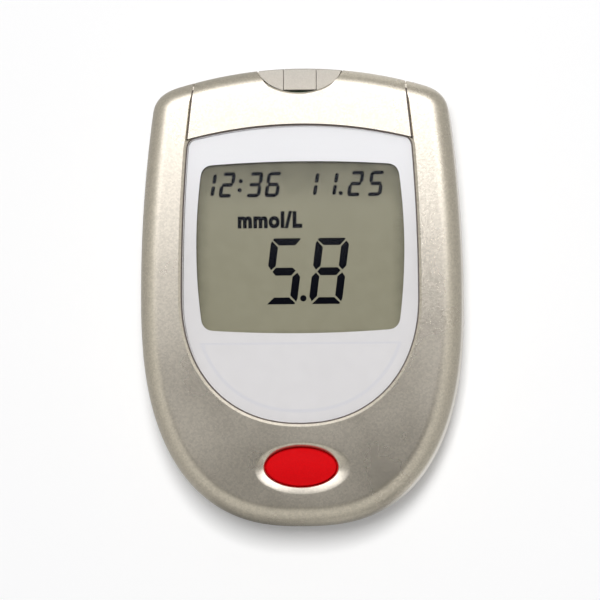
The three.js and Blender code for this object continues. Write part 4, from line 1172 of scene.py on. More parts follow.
@dataclass(frozen=True)
class LensForm:
    """The plan and heights of the display lens, its seat and its window."""

    half_width: float = 23.4
    head: float = 33.8
    foot: float = 25.15
    sink: float = 0.35
    thickness: float = 1.9
    mask: float = 0.2
    film_gap: float = 0.1
    seat: float = 1.4
    window_half: float = 20.7
    window_length: float = 34.2
    window_centre: float = 9.7
    points: int = 320

    def plan(self) -> Outline:
        """Works out the lens's plan.

        Returns:
            The closed outline.
        """
        return ArchedPlan(
            self.half_width, self.head, taper=1.15, drop=4.4, run=2.4, arch=2.5, foot=self.foot, power=2.2
        ).outline(self.points)

    def window(self) -> Outline:
        """Works out the display window's plan, the same at its head and its foot.

        Returns:
            The closed outline.
        """
        reach = self.window_length / 2
        half = ArchedPlan(
            self.window_half, reach, taper=0.9, drop=2.9, run=3.3, arch=0.6, foot=1.0, power=2.0
        ).head_half()
        whole = np.vstack([half, -half[1:-1]])
        return evened(whole, self.points) + [0.0, self.window_centre]

    def base(self, form: CaseForm) -> float:
        """Height of the lens's underside."""
        return form.thickness - self.sink - self.thickness

    def seat_top(self, form: CaseForm) -> float:
        """Height of the ledge under the printed film."""
        return self.base(form) - self.film_gap - self.mask

    def panel_top(self, form: CaseForm) -> float:
        """Height of the liquid crystal panel's face."""
        return self.seat_top(form) - self.seat - form.gap


@dataclass(frozen=True)
class CoverForm:
    """The plan of the top cover and of the scoop over the strip port."""

    head_half: float = 20.6
    foot_half: float = 22.2
    lens_gap: float = 0.4
    corner_drop: float = 2.85
    base: float = 15.0
    ledge: float = 10.9
    scoop_half: float = 8.75
    scoop_depth: float = 5.2
    scoop_rise: float = 0.5
    scoop_chamfer: float = 0.32

    def plan(self, form: CaseForm, lens: LensForm, side_spare: float, foot_spare: float) -> Outline:
        """Works out the cover's plan: splayed sides and an arched foot, open past the case's end.

        Args:
            form: the case's form.
            lens: the lens's form.
            side_spare: how far its sides are grown.
            foot_spare: how far its foot is grown.

        Returns:
            The closed outline.
        """
        apex = lens.head + self.lens_gap
        corner = apex - self.corner_drop
        splay = (self.foot_half - self.head_half) / (form.half_length - corner)
        foot_half = self.foot_half + side_spare + splay * foot_spare
        head_half = self.head_half + side_spare - splay * OVER
        left, right = (-foot_half, corner - foot_spare), (foot_half, corner - foot_spare)
        arch = curve(left, (0.0, apex + self.corner_drop - foot_spare), right, 90)
        reach = form.half_length + OVER
        side = np.linspace(0, 1, 25)[1:, None]
        right_side = np.array(right) * (1 - side) + np.array([head_half, reach]) * side
        left_side = right_side[::-1] * [-1, 1]
        return np.vstack([arch, right_side, left_side[:-1]])

    def ledge_end(self, lens: LensForm) -> float:
        """Where the ledges under the cover's sides end along Y."""
        return lens.head + self.lens_gap - self.corner_drop + self.ledge

    def scoop(self, form: CaseForm, spare: float) -> Outline:
        """Works out the scoop's plan.

        Args:
            form: the case's form.
            spare: how far it is drawn in.

        Returns:
            The closed outline.
        """
        length = self.scoop_depth + self.scoop_rise - spare
        return ellipse(form.half_length + self.scoop_rise, self.scoop_half - spare, length, 160)


# The front


@dataclass
class FrontHousing:
    """The painted upper shell with the lens recess, the cover's bay and the dished button ring."""

    form: CaseForm
    lens: LensForm
    cover: CoverForm
    button: "MainButton"
    wall: float = 1.8
    chamfer: float = 0.5
    chamfer_fall: float = 0.33
    bay_chamfer: float = 0.22
    rebate_inset: float = 0.85
    rebate_height: float = 1.2
    window_margin: float = 0.9
    opening_half: float = 6.1
    opening_foot: float = 30.9

    def build(self) -> bpy.types.Object:
        """Builds the shell.

        Returns:
            The shape, in millimetres.
        """
        form, lens = self.form, self.lens
        low = form.seam + form.gap / 2
        shell = form.front("front_housing_shell", 0.0, low)
        seat_top = lens.seat_top(form)
        seat_base = seat_top - lens.seat
        cavity = prism("cavity", drawn_in(form.outline(), self.wall), low - OVER, seat_base)
        rim = drawn_in(form.outline(), self.rebate_inset)
        rebate = prism("rebate", rim, low - OVER, low + self.rebate_height)
        seat = drawn_in(lens.plan(), -form.gap)
        recess = form.recess("lens_recess", seat, seat_top, self.chamfer, self.chamfer_fall)
        grown = drawn_in(lens.window(), -self.window_margin)
        window = prism("window", grown, seat_base - OVER, seat_top + OVER)
        cutters = [cavity, rebate, recess, window, *self.bay(seat_top, seat_base), *self.button.well()]
        return combine(shell, cutters, "DIFFERENCE")

    def bay(self, seat_top: float, seat_base: float) -> list[bpy.types.Object]:
        """Builds what the cover's bay takes out.

        Args:
            seat_top: height of the ledges.
            seat_base: height of their underside.

        Returns:
            The cutters.
        """
        form, lens, cover = self.form, self.lens, self.cover
        plan = cover.plan(form, lens, form.gap, cover.lens_gap)
        shallow = form.recess("cover_bay", plan, seat_top, self.bay_chamfer, self.bay_chamfer)
        deep = prism("cover_end", plan, cover.base - form.gap, seat_top + OVER / 2)
        wide = form.width
        end = block("end", (-wide, cover.ledge_end(lens), 0.0), (wide, form.half_length + 2 * OVER, wide))
        combine(deep, [end], "INTERSECT")
        near = (-self.opening_half, self.opening_foot, seat_base - OVER)
        far = (self.opening_half, form.half_length, seat_top + OVER)
        return [shallow, deep, block("connector_opening", near, far)]

    def dress(self) -> None:
        """Builds the shell and hands it over."""
        hand_over(self.build(), Body.CASE, SILVER_PAINT.material(), ["front_housing"], 18.0)


@dataclass
class TopCover:
    """The painted cover over the strip port, with its scoop."""

    form: CaseForm
    lens: LensForm
    cover: CoverForm
    wall: float = 1.5
    ceiling: float = 18.9
    shade_strip_drop: float = 0.5
    shade_strip_spare: float = 0.02

    def dress(self) -> None:
        """Builds the cover, and a dark strip in the gap beside it as painted shade, and hands them over."""
        form, cover = self.form, self.cover
        shell = form.front("top_cover_shell", 0.0, cover.base)
        plan = cover.plan(form, self.lens, 0.0, 0.0)
        combine(shell, [prism("plan", plan, 0.0, form.thickness + OVER)], "INTERSECT")
        hollow = prism("hollow", drawn_in(form.outline(), self.wall), cover.base - OVER, self.ceiling)
        scoop = form.recess("scoop", cover.scoop(form, 0.0), 0.0, cover.scoop_chamfer, cover.scoop_chamfer)
        combine(shell, [hollow, scoop], "DIFFERENCE")
        hand_over(shell, Body.CASE, SILVER_PAINT.material(), ["top_cover"], 18.0)
        # painted shade: a dark strip low in the slits round the cover stands for their shadow
        lip = form.front("cover_slit_shade", self.shade_strip_drop, cover.base)
        plan = cover.plan(form, self.lens, form.gap - self.shade_strip_spare, 0.0)
        combine(lip, [prism("plan", plan, 0.0, form.thickness + OVER)], "INTERSECT")
        plan = cover.plan(form, self.lens, self.shade_strip_spare, self.shade_strip_spare)
        combine(lip, [prism("cover_plan", plan, 0.0, form.thickness + OVER)], "DIFFERENCE")
        hand_over(lip, Body.CASE, GAP_SHADE.material())


@dataclass
class StripPort:
    """The two pads beside the strip guide, and the guide between them."""

    form: CaseForm
    cover: CoverForm
    foot: float = 30.0
    base: float = 15.0
    floor: float = 1.1
    guide_width: float = 6.5
    guide_top: float = 18.3
    pad_drop: float = 0.15
    slot: float = 0.78
    film_gap: float = 0.1
    rounding: float = 0.22

    def dress(self) -> None:
        """Builds the pads and the guide and hands them over."""
        form, cover = self.form, self.cover
        centre = form.half_length + cover.scoop_rise
        floor = self.base + self.floor
        pads = form.front("port_pads", 0.0, self.base)
        plan = prism("plan", cover.scoop(form, form.gap), self.base - OVER, self.guide_top - self.pad_drop)
        combine(pads, [plan], "INTERSECT")
        half = self.guide_width / 2 + self.film_gap
        near = form.half_length - cover.scoop_depth + self.slot
        channel = block("channel", (-half, self.foot, floor), (half, centre, PAST_CASE))
        slot = block("slot", (-half, self.foot, 0.0), (half, near, PAST_CASE))
        combine(pads, [channel, slot], "DIFFERENCE")
        soften(pads, self.rounding, 3)
        guide = form.front("strip_guide_block", 0.0, self.base)
        half = self.guide_width / 2
        body = block("guide", (-half, near, floor + self.film_gap), (half, centre, self.guide_top))
        combine(guide, [body], "INTERSECT")
        soften(guide, self.rounding, 3)
        hand_over(pads, Body.CASE, MATTE_BEIGE.material(), ["port_insert"])
        hand_over(guide, Body.CASE, MATTE_BEIGE.material(), ["strip_guide"])


@dataclass
class MainButton:
    """The red domed button and the dished ring that it sits in."""

    form: CaseForm
    half_width: float = 7.0
    half_length: float = 3.72
    centre: float = -33.92
    edge_sink: float = 0.75
    dome: float = 0.85
    edge_round: float = 0.3
    flange: float = 1.0
    flange_thickness: float = 0.8
    brim_width: float = 9.6
    brim_side: float = 0.25
    brim_length: float = 5.24
    brim_shift: float = -0.2
    dish_depth: float = 0.46
    foot_depth: float = 0.14
    dish_ease: float = 1.3
    foot_ease: float = 1.5
    head_depth: float = 1.2
    steep_start: float = 0.1
    steep_span: float = 0.75
    hole_round: float = 0.25
    round_share: float = 0.12
    brim_over: float = 1.2
    collar_drop: float = 2.4
    flange_gap: float = 0.1
    pocket_base: float = 8.0

    @property
    def face(self) -> float:
        """Height of the case's face at the button."""
        return float(self.form.face(np.array(self.centre)))

    @property
    def collar_base(self) -> float:
        """Height of the underside of the housing round the button."""
        return self.face - self.collar_drop

    def oval(self, spare_width: float, spare_length: float, share: float = 1.0) -> Outline:
        """Works out the button's plan, grown and scaled.

        Args:
            spare_width: how far it is grown along X.
            spare_length: how far it is grown along Y.
            share: its scale.

        Returns:
            The closed outline.
        """
        width, length = self.half_width + spare_width, self.half_length + spare_length
        return ellipse(self.centre, width * share, length * share)

    def well(self) -> list[bpy.types.Object]:
        """Builds what the button takes out of the housing.

        Returns:
            The cutters: the hole with its dished ring, and the flange's pocket.
        """
        form, gap = self.form, self.form.gap
        hole = self.oval(gap, gap)
        brim = ellipse(self.centre + self.brim_shift, self.brim_width, self.brim_length)
        brim[:, 0] += self.brim_side
        lift = np.sin(np.linspace(0, 2 * math.pi, len(hole), endpoint=False))
        steep = np.clip((lift - self.steep_start) / self.steep_span, 0, 1)
        steep = steep**2 * (3 - 2 * steep)
        low = np.clip(-lift, 0, 1) ** self.foot_ease
        depth = self.dish_depth + (self.foot_depth - self.dish_depth) * low
        rings = [level_ring(hole, self.collar_base - OVER)]
        for share in [*np.linspace(0, self.round_share, 5), *np.linspace(self.round_share + 0.04, 1, 18)]:
            edge = self.hole_round * (1 - min(share / self.round_share, 1.0)) ** 2
            dish = depth * (1 - share) ** self.dish_ease + edge
            wall = self.head_depth * (1 - math.sqrt(1 - (1 - share) ** 2))
            ring = level_ring(hole + (brim - hole) * share, form.face)
            ring[:, 2] -= dish + (wall - dish) * steep
            rings.append(ring)
        rings.append(level_ring(hole + (brim - hole) * self.brim_over, lambda y: form.face(y) + OVER))
        grown = self.oval(self.flange + gap, self.flange + gap)
        pocket = prism("flange_pocket", grown, self.pocket_base, self.collar_base)
        return [loft("button_well", rings), pocket]

    def dress(self) -> None:
        """Builds the button and hands it over."""
        flange_top = self.collar_base - self.flange_gap
        flange_low = flange_top - self.flange_thickness
        edge = self.face - self.edge_sink
        grown = self.oval(self.flange, self.flange)
        plain = self.oval(0.0, 0.0)
        rings = [level_ring(grown, flange_low), level_ring(grown, flange_top)]
        rings += [level_ring(plain, flange_top), level_ring(plain, edge - self.edge_round)]
        for angle in np.linspace(0, math.pi / 2, 7)[1:-1]:
            back = self.edge_round * (1 - math.cos(angle))
            rings.append(level_ring(self.oval(-back, -back), edge - self.edge_round * (1 - math.sin(angle))))
        for share in np.linspace(1, CORE_SHARE, 20):
            oval = self.oval(-self.edge_round, -self.edge_round, share)
            rings.append(level_ring(oval, edge + self.dome * (1 - share**2)))
        cap = loft("button_cap", rings)
        hand_over(cap, Body.BUTTON, RED_PLASTIC.material(), ["main_button"], 50.0)


# The display


class Segment(Enum):
    """The seven bars of a display digit."""

    TOP = "a"
    HEAD_RIGHT = "b"
    FOOT_RIGHT = "c"
    FOOT = "d"
    FOOT_LEFT = "e"
    HEAD_LEFT = "f"
    MIDDLE = "g"


DIGITS = {
    "1": "bc",
    "2": "abged",
    "3": "abgcd",
    "5": "afgcd",
    "6": "afgcde",
    "8": "abcdefg",
}


@dataclass(frozen=True)
class DigitStyle:
    """How a row of digits is drawn."""

    width: float
    height: float
    stroke: float
    slant: float

    def lean(self, outline: Outline) -> Outline:
        """Leans an outline over to the right."""
        return outline + np.column_stack([outline[:, 1] * self.slant, np.zeros(len(outline))])

    def bars(self) -> dict[Segment, Outline]:
        """Works out the bars of one digit, upright.

        Returns:
            The outline of each bar.
        """
        raise NotImplementedError


@dataclass(frozen=True)
class MitredDigits(DigitStyle):
    """Wide bars with mitred ends."""

    def bars(self) -> dict[Segment, Outline]:
        """Works out the bars of one digit, upright.

        Returns:
            The outline of each bar.
        """
        w, h, m = self.width, self.height, self.height / 2
        s = self.stroke
        top = [(0.32, h - 0.33), (0.6, h), (w - 1.0, h), (w - 0.8, h - 0.2)]
        top += [(w - s - 0.25, h - 1.42), (s + 0.1, h - 1.42)]
        left_head = [(0, h - 1), (0.24, h - 0.57), (s, h - 1.8), (s, m + 1.05)]
        left_head += [(0.68, m + 0.24), (0, m + 1.15)]
        right_head = [(w - 0.6, h - 0.57), (w - s, h - 1.7), (w - s, m + 1.05), (w - 0.7, m + 0.24)]
        right_head += [(w, m + 1.05), (w, h - 1.25)]
        middle = [(1.0, m - 0.1), (s + 0.05, m + 0.71), (w - s - 0.2, m + 0.71), (w - 1.04, m + 0.13)]
        middle += [(w - s - 0.25, m - 0.85), (s + 0.2, m - 0.85)]
        left_foot = [(0.76, m - 0.29), (0, m - 1.15), (0, 1.55), (0.6, 0.55), (s, 1.58), (s, m - 1.05)]
        right_foot = [(w - 0.66, m - 0.29), (w - s, m - 1.08), (w - s, 1.75), (w - 0.2, 0.5)]
        right_foot += [(w, 1.2), (w, m - 1.15)]
        foot = [(0.7, 0), (w - 0.5, 0), (w - 0.36, 0.22), (w - s - 0.15, 1.35), (s + 0.42, 1.35)]
        shapes = {
            Segment.TOP: top,
            Segment.HEAD_RIGHT: right_head,
            Segment.FOOT_RIGHT: right_foot,
            Segment.FOOT: foot,
            Segment.FOOT_LEFT: left_foot,
            Segment.HEAD_LEFT: left_head,
            Segment.MIDDLE: middle,
        }
        return {bar: np.array(points, float) for bar, points in shapes.items()}


@dataclass(frozen=True)
class RoundedDigits(DigitStyle):
    """Thin bars with round ends."""

    def bars(self) -> dict[Segment, Outline]:
        """Works out the bars of one digit, upright.

        Returns:
            The outline of each bar.
        """
        w, h, m, r = self.width, self.height, self.height / 2, self.stroke / 2
        ends = {
            Segment.TOP: ((0.75, h - r), (w - 0.55, h - r)),
            Segment.HEAD_RIGHT: ((w - r, m + 0.6), (w - r, h - 0.75)),
            Segment.FOOT_RIGHT: ((w - r, 0.7), (w - r, m - 0.6)),
            Segment.FOOT: ((0.55, r), (w - 0.75, r)),
            Segment.FOOT_LEFT: ((r, 0.7), (r, m - 0.6)),
            Segment.HEAD_LEFT: ((r, m + 0.6), (r, h - 0.7)),
            Segment.MIDDLE: ((0.75, m), (w - 0.7, m)),
        }
        return {bar: capsule(a, b, r) for bar, (a, b) in ends.items()}


@dataclass
class Display:
    """The lens, its printed film, the panel and the digits on it."""

    form: CaseForm
    lens: LensForm
    edge_round: float = 0.2
    foot_chamfer: float = 0.12
    film_inset: float = 0.12
    # a thin dark ring in the lens gap, painted shade for the gap's shadow
    shade_ring_height: float = 1.3
    shade_ring_lift: float = 0.05
    shade_ring_spare: float = 0.02
    backing_inset: float = 2.0
    backing_width: float = 0.7
    backing_head: float = -9.2
    backing_step: float = 0.4
    backing_thickness: float = 0.02
    panel_round: float = 0.08
    ink: float = 0.03
    ink_lift: float = 0.01
    big: DigitStyle = field(default_factory=lambda: MitredDigits(6.65, 13.14, 1.52, 0.127))
    small: DigitStyle = field(default_factory=lambda: RoundedDigits(2.86, 5.06, 0.74, 0.16))
    big_row: tuple[tuple[str, float], ...] = (("5", -7.5), ("8", 1.45))
    big_foot: float = -1.54
    small_row: tuple[tuple[str, float], ...] = (
        ("1", -20.22),
        ("2", -16.45),
        ("3", -10.95),
        ("6", -7.29),
        ("1", 0.25),
        ("1", 4.11),
        ("2", 9.2),
        ("5", 13.22),
    )
    small_foot: float = 19.84
    unit: str = "mmol/L"
    unit_left: float = -12.57
    unit_foot: float = 13.61
    unit_size: tuple[float, float] = (12.9, 3.44)

    def bars(self, row: Iterable[tuple[str, float]], foot: float, style: DigitStyle) -> list[Outline]:
        """Works out the bars of a row of digits.

        Args:
            row: each digit with its left side along X.
            foot: their foot along Y.
            style: how they are drawn.

        Returns:
            The outlines.
        """
        shapes = style.bars()
        return [
            style.lean(shapes[Segment(letter)]) + [left, foot]
            for digit, left in row
            for letter in DIGITS[digit]
        ]

    def marks(self) -> list[Outline]:
        """Works out the points and the colon between the digits.

        Returns:
            The outlines.
        """
        dots = [(0.45, -0.38, 0.63), (8.02, 20.5, 0.42), (-12.15, 21.3, 0.42), (-11.9, 23.1, 0.42)]
        return [ellipse(y, radius, radius, 24) + [x, 0.0] for x, y, radius in dots]

    def lettering(self, height: float) -> bpy.types.Object:
        """Builds the unit over the big digits.

        Args:
            height: height that it stands on.

        Returns:
            The shape.
        """
        choose_none()
        bpy.ops.object.text_add()
        text = bpy.context.object
        text.data.body = self.unit
        text.data.offset = 0.055
        text.data.space_character = 1.12
        text.data.resolution_u = 6
        bpy.ops.object.convert(target="MESH")
        text.name = "unit"
        co = np.array([vertex.co for vertex in text.data.vertices])
        low, high = co.min(0), co.max(0)
        size = (high - low)[:2]
        place = (co[:, :2] - low[:2]) / size * self.unit_size + [self.unit_left, self.unit_foot]
        for vertex, (x, y) in zip(text.data.vertices, place):
            vertex.co = (x, y, height)
        bpy.ops.object.mode_set(mode="EDIT")
        bpy.ops.mesh.select_all(action="SELECT")
        bpy.ops.mesh.remove_doubles(threshold=0.001)
        bpy.ops.mesh.extrude_region_move(TRANSFORM_OT_translate={"value": (0, 0, self.ink)})
        bpy.ops.object.mode_set(mode="OBJECT")
        face_out(text)
        return text

    def dress(self) -> None:
        """Builds the display and hands it over."""
        self.dress_lens()
        self.dress_film()
        self.dress_backing()
        self.dress_gap_shade()
        self.dress_panel()

    def dress_lens(self) -> None:
        """Builds the clear lens."""
        form, lens = self.form, self.lens
        plan = lens.plan()
        base = lens.base(form)
        chamfer = self.foot_chamfer
        rings = [level_ring(drawn_in(plan, chamfer), base), level_ring(plan, base + chamfer)]
        for angle in np.linspace(0, math.pi / 2, 7):
            back = self.edge_round * (1 - math.cos(angle))
            sunk = lens.sink + self.edge_round * (1 - math.sin(angle))
            rings.append(level_ring(drawn_in(plan, back), lambda y, sunk=sunk: form.face(y) - sunk))
        edge = drawn_in(plan, self.edge_round)
        for share in np.linspace(1, 0.03, 26)[1:]:
            rings.append(level_ring(edge * share, lambda y: form.face(y) - lens.sink))
        shape = loft("clear_lens", rings)
        hand_over(shape, Body.CASE, CLEAR_ACRYLIC.material(), ["display_lens"])

    def dress_film(self) -> None:
        """Builds the printed film under the lens."""
        low = self.lens.seat_top(self.form) + self.lens.film_gap / 2
        film = prism("printed_film", drawn_in(self.lens.plan(), self.film_inset), low, low + self.lens.mask)
        combine(film, [prism("opening", self.lens.window(), 0.0, PAST_CASE)], "DIFFERENCE")
        hand_over(film, Body.CASE, WHITE_FILM.material(), ["lens_mask"])

    def dress_backing(self) -> None:
        """Builds the faint edge of the adhesive that shows through the film below the window."""
        low = self.lens.seat_top(self.form) + self.lens.film_gap / 2 + self.lens.mask
        chord = self.backing_head
        half, foot = self.form.width / 2, -self.form.half_length
        plan = drawn_in(self.lens.plan(), self.backing_inset)
        line = prism("backing_edge", plan, low, low + self.backing_thickness)
        combine(line, [block("foot", (-half, foot, 0.0), (half, chord, PAST_CASE))], "INTERSECT")
        plan = drawn_in(self.lens.plan(), self.backing_inset + self.backing_width)
        inner = prism("inner", plan, 0.0, PAST_CASE)
        chord -= self.backing_step
        combine(inner, [block("foot", (-half, foot, -OVER), (half, chord, PAST_CASE + OVER))], "INTERSECT")
        combine(line, [inner], "DIFFERENCE")
        hand_over(line, Body.CASE, BACKING.material())

    def dress_gap_shade(self) -> None:
        """Builds a thin dark ring in the gap round the lens, painted shade for the gap's shadow."""
        plan, low = self.lens.plan(), self.lens.seat_top(self.form) + self.shade_ring_lift
        grown = drawn_in(plan, -self.form.gap + self.shade_ring_spare)
        shade_ring = prism("painted_gap_shade", grown, low, low + self.shade_ring_height)
        combine(shade_ring, [prism("bore", drawn_in(plan, -self.shade_ring_spare), 0.0, PAST_CASE)], "DIFFERENCE")
        hand_over(shade_ring, Body.CASE, GAP_SHADE.material())

    def dress_panel(self) -> None:
        """Builds the panel's face and the digits on it."""
        foot = self.lens.panel_top(self.form) + self.ink_lift
        low, high = (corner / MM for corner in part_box("lcd_panel"))
        panel = block("panel_glass_pair", low, high)
        soften(panel, self.panel_round, 1)
        hand_over(panel, Body.CASE, PANEL_GLASS.material(), ["lcd_panel"])
        outlines = self.bars(self.big_row, self.big_foot, self.big)
        outlines += self.bars(self.small_row, self.small_foot, self.small)
        outlines += self.marks()
        parts = [prism("bar", outline, foot, foot + self.ink) for outline in outlines]
        digits = joined("panel_digits", [*parts, self.lettering(foot)])
        hand_over(digits, Body.CASE, PANEL_INK.material())


# The back


@dataclass
class BatteryDoor:
    """The sliding door over the cells, wrapped up over the foot, with its grip."""

    form: CaseForm
    half_width: float = 14.0
    head: float = 23.0
    thickness: float = 1.5
    height: float = 6.5
    tongue_length: float = 4.0
    tongue_reach: float = 1.4
    tongue_low: float = 0.7
    tongue_thickness: float = 0.6
    tongue_places: tuple[float, ...] = (-23.563, 16.254)
    grip_start: float = -33.0
    grip_pitch: float = 1.8
    grip_width: float = 0.8
    grip_depth: float = 0.35
    grip_half: float = 6.5
    grip_count: int = 5
    arrow_gap: float = 2.2
    arrow_half: float = 2.1
    arrow_head: float = 2.4
    arrow_foot: float = 0.4
    travel: float = 8.0
    rounding: float = 0.12

    def plan_block(self, name: str, spare: float) -> bpy.types.Object:
        """Builds the box that the door is cut from.

        Args:
            name: the shape's name.
            spare: how far it is grown.

        Returns:
            The box.
        """
        half = self.half_width + spare
        foot = -self.form.half_length - OVER
        return block(name, (-half, foot, -OVER), (half, self.head + spare, self.height + spare))

    def tongue(self, side: int, y: float, spare: float, travel: float) -> bpy.types.Object:
        """Builds a tongue, or its groove where it is grown.

        Args:
            side: 1 for the +X side, -1 for the other.
            y: its end towards the foot.
            spare: how far it is grown.
            travel: how far it is drawn out along the door's travel.

        Returns:
            The block.
        """
        inner, outer = side * (self.half_width - OVER), side * (self.half_width + self.tongue_reach + spare)
        low = (min(inner, outer), y - travel - spare, self.tongue_low - spare)
        top = self.tongue_low + self.tongue_thickness + spare
        return block("tongue", low, (max(inner, outer), y + self.tongue_length + spare, top))

    def grooves(self) -> list[bpy.types.Object]:
        """Builds what the tongues' grooves take out of the rear housing.

        Returns:
            The cutters.
        """
        spare = self.form.gap / 2
        cutters = []
        for y in self.tongue_places:
            for side in (-1, 1):
                cutters.append(self.tongue(side, y, spare, self.travel))
                inner, outer = side * self.half_width, side * (self.half_width + self.tongue_reach + spare)
                near = y - self.travel - spare
                low = (min(inner, outer), near, -OVER)
                high = (max(inner, outer), near + self.tongue_length + 2 * spare, self.tongue_low)
                cutters.append(block("groove_exit", low, high))
        return cutters

    def arrow(self) -> bpy.types.Object:
        """Builds the small sunk triangle that points the way the door slides.

        Returns:
            The cutter.
        """
        y = self.grip_start + self.grip_count * self.grip_pitch + self.arrow_gap
        half, head = self.arrow_half, y + self.arrow_head
        plan = np.array([(-half, head), (0.0, y - self.arrow_foot), (half, head)])
        return prism("arrow", plan, -OVER, self.grip_depth)

    def dress(self) -> None:
        """Builds the door and hands it over."""
        door = self.form.back("door_panel", 0.0, self.form.seam)
        inner = self.form.back("inner", self.thickness, self.form.seam + OVER)
        combine(door, [inner], "DIFFERENCE")
        combine(door, [self.plan_block("plan", 0.0)], "INTERSECT")
        tongues = [self.tongue(side, y, 0.0, 0.0) for y in self.tongue_places for side in (-1, 1)]
        combine(door, tongues, "UNION")
        cutters = []
        for index in range(self.grip_count):
            y = self.grip_start + index * self.grip_pitch + self.grip_width / 2
            outline = capsule((-self.grip_half, y), (self.grip_half, y), self.grip_width / 2)
            cutters.append(prism("grip", outline, -OVER, self.grip_depth))
        combine(door, [*cutters, self.arrow()], "DIFFERENCE")
        soften(door, self.rounding)
        hand_over(door, Body.DOOR, SILVER_PAINT.material(), ["battery_door"])


@dataclass
class RearHousing:
    """The lower shell with the battery bay, the door's recess and the screw sinks."""

    form: CaseForm
    door: BatteryDoor
    wall: float = 1.8
    foot_wall: float = 5.2
    foot_height: float = 6.4
    lip_inset: float = 1.15
    lip_depth: float = 1.8
    lip_height: float = 0.9
    skin_base: float = 1.8
    skin: float = 3.3
    tub_lift: float = 0.5
    screw_x: float = 25.2
    screw_ys: tuple[float, ...] = (33.4, -17.0)
    sink_radius: float = 2.1
    sink_depth: float = 4.8
    bay_half: float = 11.15
    bay_foot: float = -34.4
    bay_head: float = 15.2
    bay_ceiling: float = 12.6
    bay_wall: float = 1.3
    set_x: float = 6.0
    set_y: float = 19.8
    set_radius: float = 1.8
    set_ceiling: float = 9.0
    sound_x: float = 20.625
    sound_y: float = 9.7
    sound_radius: float = 0.6
    sound_depth: float = 4.0
    sound_ring: float = 2.2
    sound_count: int = 5

    def screw_places(self) -> list[tuple[float, float]]:
        """The places of the four case screws."""
        return [(side * self.screw_x, y) for y in self.screw_ys for side in (-1, 1)]

    def build(self) -> bpy.types.Object:
        """Builds the shell.

        Returns:
            The shape, in millimetres.
        """
        form = self.form
        top = form.seam - form.gap / 2
        shell = form.back("rear_housing_shell", 0.0, top)
        plan, inner = form.outline(), drawn_in(form.outline(), self.wall)
        cavity = prism("cavity", drawn_in(plan, self.foot_wall), self.skin, top + OVER)
        wide = prism("wide_cavity", inner, self.foot_height, top + OVER)
        combine(shell, [cavity, wide], "DIFFERENCE")
        edge = drawn_in(plan, self.lip_inset)
        lip = prism("seam_lip", edge, top - self.lip_depth, top + self.lip_height)
        combine(lip, [prism("lip_bore", inner, 0.0, PAST_CASE)], "DIFFERENCE")
        half, wall = self.bay_half + self.bay_wall, self.bay_wall
        low = (-half, self.bay_foot - wall, self.skin_base + self.tub_lift)
        tub = block("tub", low, (half, self.bay_head + wall, self.bay_ceiling + OVER))
        combine(shell, [lip, tub], "UNION")
        recess = self.door.plan_block("door_recess", form.gap)
        combine(recess, [form.back("behind", self.skin_base, form.seam + OVER)], "DIFFERENCE")
        low, high = (-self.bay_half, self.bay_foot, 0.0), (self.bay_half, self.bay_head, self.bay_ceiling)
        hollow = block("bay", low, high)
        return combine(shell, [recess, hollow, *self.holes(), *self.door.grooves()], "DIFFERENCE")

    def holes(self) -> list[bpy.types.Object]:
        """Builds the screw sinks, the sound holes and the set button's hole.

        Returns:
            The cutters.
        """
        places = self.screw_places()
        cutters = [rod("sink", x, y, self.sink_radius, -OVER, self.sink_depth) for x, y in places]
        for index in range(self.sound_count):
            turn = 2 * math.pi * index / self.sound_count
            x = self.sound_x + self.sound_ring * math.cos(turn)
            y = self.sound_y + self.sound_ring * math.sin(turn)
            cutters.append(rod("sound", x, y, self.sound_radius, -OVER, self.sound_depth, 32))
        cutters.append(rod("set", self.set_x, self.set_y, self.set_radius, 0.0, self.set_ceiling, 40))
        return cutters

    def dress(self) -> None:
        """Builds the shell and hands it over."""
        shell = self.build()
        hand_over(shell, Body.CASE, SILVER_PAINT.material(), ["rear_housing"])


@dataclass
class Fasteners:
    """The case screws: pan heads with a cross recess, deep in their sinks."""

    rear: RearHousing
    head_base: float = 3.2
    head_radius: float = 1.9
    head_height: float = 1.5
    shank_radius: float = 1.0
    shank_length: float = 9.5
    slot_half: float = 0.25
    slot_reach: float = 1.33
    slot_depth: float = 0.7
    turn: float = 0.35
    turn_step: float = 1.1

    def dress(self) -> None:
        """Models one screw and copies it to every place."""
        circle = ellipse(0.0, 1.0, 1.0, 40)
        base, top = self.head_base, self.head_base + self.head_height
        steps = [(0.25, 0.0), (0.7, 0.06), (0.9, 0.2), (0.98, 0.42), (1.0, 0.7)]
        rings = [level_ring(circle * self.head_radius * share, base + rise) for share, rise in steps]
        rings += [level_ring(circle * self.head_radius, top), level_ring(circle * self.shank_radius, top)]
        rings.append(level_ring(circle * self.shank_radius, top + self.shank_length))
        screw = loft("case_screw", rings)
        reach, half, high = self.slot_reach, self.slot_half, base + self.slot_depth
        cross = [
            block("slot", (-reach, -half, 0.0), (reach, half, high)),
            block("slot", (-half, -reach, 0.0), (half, reach, high)),
        ]
        combine(screw, cross, "DIFFERENCE")
        for index, (x, y) in enumerate(self.rear.screw_places()):
            screw_copy = copied(screw, f"steel_screw_{index + 1}")
            turn = Matrix.Rotation(self.turn + self.turn_step * index, 4, "Z")
            screw_copy.data.transform(Matrix.Translation((x, y, 0)) @ turn)
            hand_over(screw_copy, Body.CASE, SCREW_STEEL.material(), [self.node_at(x, y)])
        remove(screw)

    def node_at(self, x: float, y: float) -> str:
        """Finds the frame's screw at a place.

        Args:
            x: the place along X.
            y: the place along Y.

        Returns:
            The node's name.
        """
        names = [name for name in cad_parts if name.startswith("case_screw_")]
        place = Vector((x * MM, y * MM, 0))

        def away(name: str) -> float:
            """Tells how far a screw's middle is from the place."""
            middle = sum(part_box(name), Vector()) / 2
            return (Vector((middle.x, middle.y, 0)) - place).length

        return min(names, key=away)


